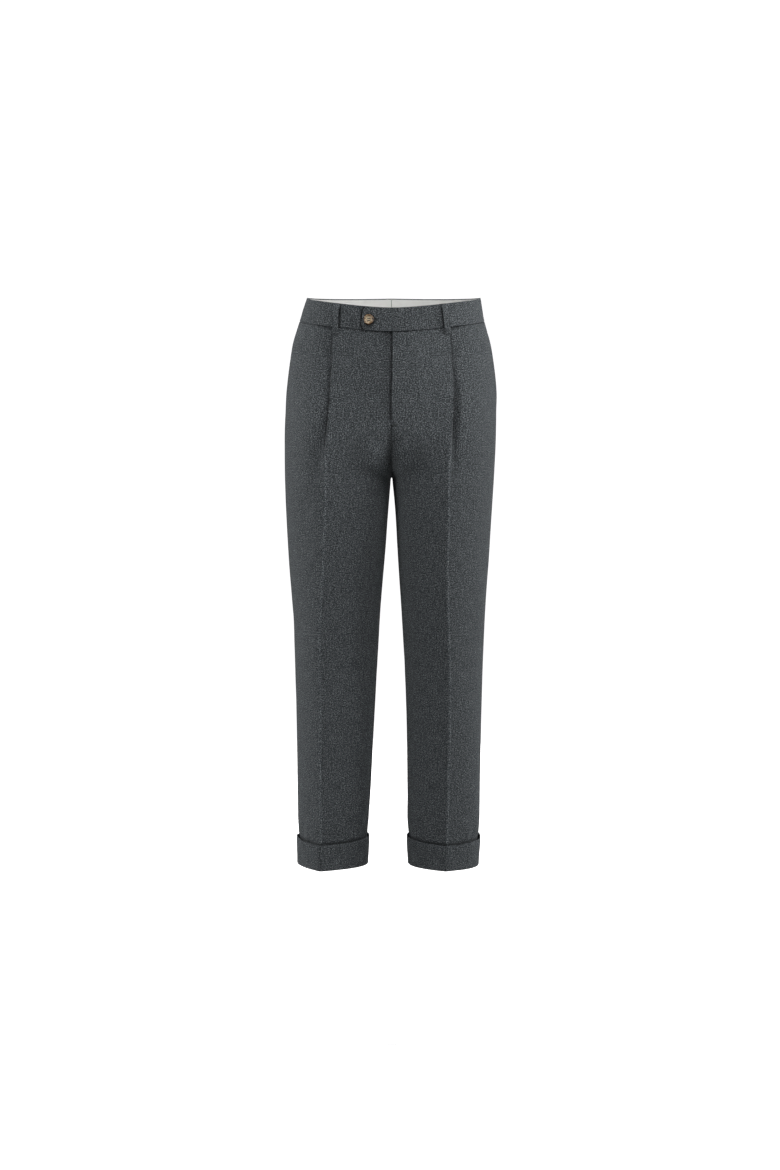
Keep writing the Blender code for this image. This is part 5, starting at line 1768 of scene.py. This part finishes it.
# %% The fly's curved row: straight down, then round to the fly's foot
J_LINE = np.array([
    (36.0, -46.0), (37.5, -90.0), (39.0, -125.0), (35.0, -158.0), (22.0, -184.0), (5.0, -199.0),
])
J_PITCH = 2.9
J_STITCH = 2.1
J_RADIUS = 0.26
J_LIFT = -0.05  # the stitches are drawn into the cloth

j_run = spline(padded(J_LINE))
j_length = arc_lengths(j_run)
marks = np.arange(1.0, j_length[-1] - J_STITCH, J_PITCH)
(start_points, outs), (end_points, _) = (
    front_surface(LEFT, *(np.interp(marks + step, j_length, j_run[:, k]) for k in range(2)), J_LIFT)
    for step in (0.0, J_STITCH)
)
piece = stitches("fly_stitching", start_points, end_points, outs, J_RADIUS, THREAD_GREY)
dress(piece, "flannel")
print("fly stitching:", len(marks), "stitches")

# %% The tacks
TACK_THREAD = 0.24  # radius
TACK_PITCH = 0.42  # closer than the thread is wide, so the threads touch
TACK_LIFT = 0.15


def bar_tack(name, side, s, z, half_height, material=THREAD_GREY):
    """Threads packed side by side, each upright, along a short level line."""
    low, outs = front_surface(side, s, np.full_like(s, z - half_height), TACK_LIFT)
    high, _ = front_surface(side, s, np.full_like(s, z + half_height), TACK_LIFT)
    dress(stitches(name, low, high, outs, TACK_THREAD, material), "flannel")


bar_tack("fly_tack", LEFT, np.arange(1.0, 10.9, TACK_PITCH), -200.6, 1.0, THREAD_DARK)
from_seam = 1.0 + np.arange(0.0, 5.0, TACK_PITCH)
for side in (RIGHT, LEFT):
    for end, z in (("top", POCKET_TOP - 1.5), ("foot", POCKET_FOOT - 1.0)):
        s = Path(side, FRONT, z).length - from_seam
        bar_tack(f"pocket_tack_{end}_{side_name(side)}", side, s, z, 0.9)
print("tacks:", len(from_seam), "threads at each end of a pocket")

# %% [markdown]
# ## The buttonhole
# The hole is a slit in the tab, worked round with close satin stitches that stand up as
# a firm welt. Most of it lies under the button, which sits at its outer end. The welt
# is a half-round profile carried round a stadium, ribbed once for each stitch.

# %% Make the buttonhole
HOLE_FROM = -40.0  # along the waist
HOLE_TO = -23.6
HOLE_ROUND = 0.75  # radius of its two ends
WELT = 0.6  # half width
WELT_HEIGHT = 0.5
SATIN_PITCH = 0.5


def buttonhole():
    straight = HOLE_TO - HOLE_FROM
    r = HOLE_ROUND
    bend = math.pi * r
    perimeter = 2.0 * (straight + bend)
    ribs = int(perimeter / SATIN_PITCH)
    t = np.arange(ribs * 4) / (ribs * 4.0) * perimeter
    first = (t - straight) / r
    second = (t - 2.0 * straight - bend) / r
    parts = [t < straight, t < straight + bend, t < 2.0 * straight + bend]
    back = HOLE_TO - (t - straight - bend)
    s = np.select(
        parts, [HOLE_FROM + t, HOLE_TO + r * np.sin(first), back], HOLE_FROM - r * np.sin(second))
    h = np.select(parts, [-r + 0.0 * t, -r * np.cos(first), r + 0.0 * t], r * np.cos(second))
    outward_s = np.gradient(h)
    outward_h = -np.gradient(s)
    size = np.hypot(outward_s, outward_h)
    angle = np.linspace(0.0, 2.0 * math.pi, 10, endpoint=False)[:, None]
    rib = 1.0 + 0.16 * np.cos(2.0 * math.pi * np.arange(len(t)) / 4.0)[None, :]
    side_step = WELT * np.cos(angle) * rib
    lift = WELT_HEIGHT * np.maximum(np.sin(angle), -0.3) * rib
    place_s = s[None, :] + side_step * (outward_s / size)[None, :]
    place_h = BUTTON_PLACE[1] + h[None, :] + side_step * (outward_h / size)[None, :]
    points = waist_point(place_s, place_h, left_band_offset(place_s) + lift)
    faces = grid_quads(*points.shape[:2], close_rows=True, close_columns=True)
    dress(make_piece("buttonhole_welt", points, faces, THREAD_DARK), "flannel")
    return ribs


print("buttonhole:", buttonhole(), "stitches round")

# %% [markdown]
# ## The button
# A four-hole button is turned from a slice of horn: a rim, a dished middle and four
# drilled holes. Horn grows in layers, so its colour runs in cloudy streaks, lightest in
# the middle here and brown at the rim. The disc is a profile turned round its axis, and
# the holes are real, cut with an exact Boolean. Threads join the holes in two pairs.

# %% Horn
BUTTON_LIFT = BAND_PROUD + TAB_PROUD + 1.8
HORN_STREAK = 2.4  # mm, the layers' clouds
HORN_GRAIN = 0.6  # mm, what polishing leaves of them
HORN_REACH = 11.5  # mm from the light middle to full brown

button_centre = waist_point(*BUTTON_PLACE, BUTTON_LIFT)
button_out = unit(waist_point(*BUTTON_PLACE, BUTTON_LIFT + 1.0) - button_centre)
button_up = np.array([0.0, 0.0, 1.0])
button_along = np.cross(button_up, button_out) * -1.0


def in_button(x, y, z):
    """A place on the button: x along the waist, y up, z out of the band."""
    return button_centre + x * button_along + y * button_up + z * button_out


def horn():
    """Polished horn: a clear gloss over clouds that go from tan to brown."""
    made, tree, shader = new_material(
        "turned_horn", Roughness=0.24, IOR=1.54, Coat_Weight=0.25, Coat_Roughness=0.12)
    place = add(tree, "ShaderNodeTexCoord", out="Object")
    middle = tuple((in_button(0.9, 0.6, 2.5) * MM).tolist())
    off = add(tree, "ShaderNodeVectorMath", {0: place, 1: middle}, operation="SUBTRACT", out="Vector")
    radius = add(tree, "ShaderNodeVectorMath", {0: off}, operation="LENGTH", out="Value")
    streak = clouds(tree, off, HORN_STREAK, (1.0, 0.6, 1.0), detail=3.0, roughness=0.6)
    share = add(tree, "ShaderNodeMapRange", {
        "Value": radius, "From Max": HORN_REACH * MM,
    }, out="Result")
    bent = add(tree, "ShaderNodeMath", {
        0: streak, 1: 1.3, 2: -0.68,
    }, operation="MULTIPLY_ADD", out="Value")
    total = add(tree, "ShaderNodeMath", {0: share, 1: bent}, operation="ADD", out="Value")
    ramp = add(tree, "ShaderNodeValToRGB", {"Fac": total})
    tint = set_stops(ramp, (
        (0.12, "#e0cfb0"), (0.44, "#b9a284"), (0.62, "#6f5438"), (0.8, "#22160d"),
    ))
    grain = clouds(tree, off, HORN_GRAIN, (1.0, 0.6, 1.0), detail=2.0)
    return finish(made, tree, shader, tint, grain, 0.08, 0.1)


HORN = horn()
print("horn:", len(HORN.node_tree.nodes), "nodes")

# %% Make the button
BUTTON_PROFILE = (
    (0.02, 0.0), (4.0, 0.0), (7.2, 0.0), (8.2, 0.35), (8.8, 0.95), (8.98, 1.6), (8.85, 2.3),
    (8.5, 2.85), (8.0, 3.18), (7.4, 3.3), (6.8, 3.22), (6.3, 2.98), (5.9, 2.65), (5.5, 2.35),
    (5.0, 2.2), (3.6, 2.08), (0.02, 2.0),
)
BUTTON_TURNS = 72
BUTTON_HOLE = 1.0
BUTTON_HOLE_PITCH = 1.7
DRILL_TURNS = 24
SHARP_FROM = math.radians(40.0)  # an edge steeper than this is a drilled one


def turned(name, profile, turns, x=0.0, y=0.0):
    """A solid turned round an axis at (x, y) on the button, from (radius, height) rows."""
    radius, height = np.array(profile).T[:, :, None, None]
    angle = np.linspace(0.0, 2.0 * math.pi, turns, endpoint=False)[:, None]
    points = in_button(x + radius * np.cos(angle), y + radius * np.sin(angle), height)
    faces = grid_quads(len(profile), turns, close_columns=True)
    ends = (np.arange(turns)[None, ::-1], (len(profile) - 1) * turns + np.arange(turns)[None, :])
    return make_piece(name, points, faces, HORN, caps=ends)


def waist_button():
    button = turned("horn_button", BUTTON_PROFILE, BUTTON_TURNS)
    drills = []
    through = ((BUTTON_HOLE, -3.0), (BUTTON_HOLE, 8.0))
    for k, (x, y) in enumerate(((-1.0, -1.0), (1.0, -1.0), (-1.0, 1.0), (1.0, 1.0))):
        place = (BUTTON_HOLE_PITCH * x, BUTTON_HOLE_PITCH * y)
        drill = turned(f"drill_{k}", through, DRILL_TURNS, *place)
        cut = button.modifiers.new(drill.name, "BOOLEAN")
        cut.operation = "DIFFERENCE"
        cut.solver = "EXACT"
        cut.object = drill
        drills.append(drill)
    evaluated = button.evaluated_get(bpy.context.evaluated_depsgraph_get())
    cut_mesh = bpy.data.meshes.new_from_object(evaluated)
    button.modifiers.clear()
    button.data = cut_mesh
    cut_mesh.set_sharp_from_angle(angle=SHARP_FROM)
    for drill in drills:
        bpy.data.objects.remove(drill)
    return dress(button, "horn", "waist_button")


button = waist_button()
print("button:", len(button.data.polygons), "faces after drilling")

# %% The button's threads
THREAD_REACH = BUTTON_HOLE_PITCH + 0.7
THREAD_HEIGHT = 1.95
THREAD_STEP = 0.36  # from one thread to the next, three in each row
THREAD_ROWS = [BUTTON_HOLE_PITCH * k + THREAD_STEP * j for k in (-1, 1) for j in (-1, 0, 1)]

starts = np.array([in_button(-THREAD_REACH, y, THREAD_HEIGHT) for y in THREAD_ROWS])
ends = np.array([in_button(THREAD_REACH, y, THREAD_HEIGHT) for y in THREAD_ROWS])
outs = np.repeat(button_out[None], len(THREAD_ROWS), axis=0)
dress(stitches("button_threads", starts, ends, outs, 0.5, THREAD_DARK), "flannel")
print(len(THREAD_ROWS), "threads across the button")

# %% [markdown]
# ## Studio
# A white sweep all round, and seven soft boxes that face the trousers' middle: two in
# front, a weak one and a high one, a key and a back box at the wearer's right, a key and
# a high box at the left, and one behind. The sides are brighter than the middle, as on
# the real cloth, and the inner legs fall dark.

# %% Floor and lights
FLOOR = -1.30
SWEEP_RADIUS = 6.0
SWEEP_CORNER = 2.0
SWEEP_TOP = 9.0
SWEEP_TURNS = 96


def sweep():
    """A round floor that curves up into a wall: a quarter circle between the two."""
    angle = np.linspace(0.0, math.pi / 2.0, 14)
    corner = SWEEP_RADIUS + SWEEP_CORNER * np.sin(angle)
    climb = SWEEP_CORNER * (1.0 - np.cos(angle))
    radii = np.concatenate([[0.01, 2.0], corner, [SWEEP_RADIUS + SWEEP_CORNER]])[:, None]
    heights = np.concatenate([[0.0, 0.0], climb, [SWEEP_TOP]])[:, None] + FLOOR
    turn = np.linspace(0.0, 2.0 * math.pi, SWEEP_TURNS, endpoint=False)
    points = np.stack([radii * np.cos(turn), radii * np.sin(turn), heights + 0.0 * turn], axis=-1)
    faces = grid_quads(len(radii), SWEEP_TURNS, close_columns=True)
    made, _, shader = new_material("white_studio_sweep", Roughness=0.9, Emission_Strength=0.98)
    shader.inputs["Base Color"].default_value = colour("#f4f4f4")
    shader.inputs["Emission Color"].default_value = (1.0, 1.0, 1.0, 1.0)
    middle = np.arange(SWEEP_TURNS)[None, :]  # the small round left at the floor's centre
    piece = make_piece("studio_sweep", points / MM, faces, made, caps=(middle,))
    piece.visible_diffuse = False
    piece.visible_glossy = False
    return piece


LIGHT_AIM = -0.45
LIGHT_REACH = 3.2


def soft_light(name, turn, lift, width, height, power):
    """A box light that faces the trousers' middle from this many degrees round from the
    front, towards the wearer's left, and this many degrees up."""
    light = bpy.data.lights.new(name, "AREA")
    light.shape = "RECTANGLE"
    light.size = width
    light.size_y = height
    light.energy = power
    lamp = bpy.data.objects.new(name, light)
    bpy.context.scene.collection.objects.link(lamp)
    turn, lift = math.radians(turn), math.radians(lift)
    lamp.location = (
        LIGHT_REACH * math.sin(turn) * math.cos(lift),
        -LIGHT_REACH * math.cos(turn) * math.cos(lift),
        LIGHT_AIM + LIGHT_REACH * math.sin(lift),
    )
    lamp.rotation_euler = (math.pi / 2.0 - lift, 0.0, turn)
    return lamp


sweep()
# Each row: name, turn and lift in degrees, width and height in metres, power in watts.
LIGHTS = (
    ("front_box", 10, 8, 1.2, 2.2, 12.0),
    ("front_high_box", 0, 62, 1.6, 1.6, 28.0),
    ("right_key", -50, 8, 1.2, 2.2, 30.0),
    ("right_back_box", -110, 8, 1.2, 2.2, 46.0),
    ("left_key", 85, 8, 1.2, 2.2, 48.0),
    ("left_high_box", 50, 45, 1.2, 2.2, 35.0),
    ("back_box", 175, 8, 1.4, 2.2, 42.0),
)
for row in LIGHTS:
    soft_light(*row)
world = bpy.data.worlds.new("studio_air")
world.use_nodes = True
world.node_tree.nodes["Background"].inputs["Color"].default_value = colour("#ffffff")
world.node_tree.nodes["Background"].inputs["Strength"].default_value = 0.02
bpy.context.scene.world = world
bpy.context.scene.view_settings.view_transform = "Standard"
print(len(LIGHTS), "lights")
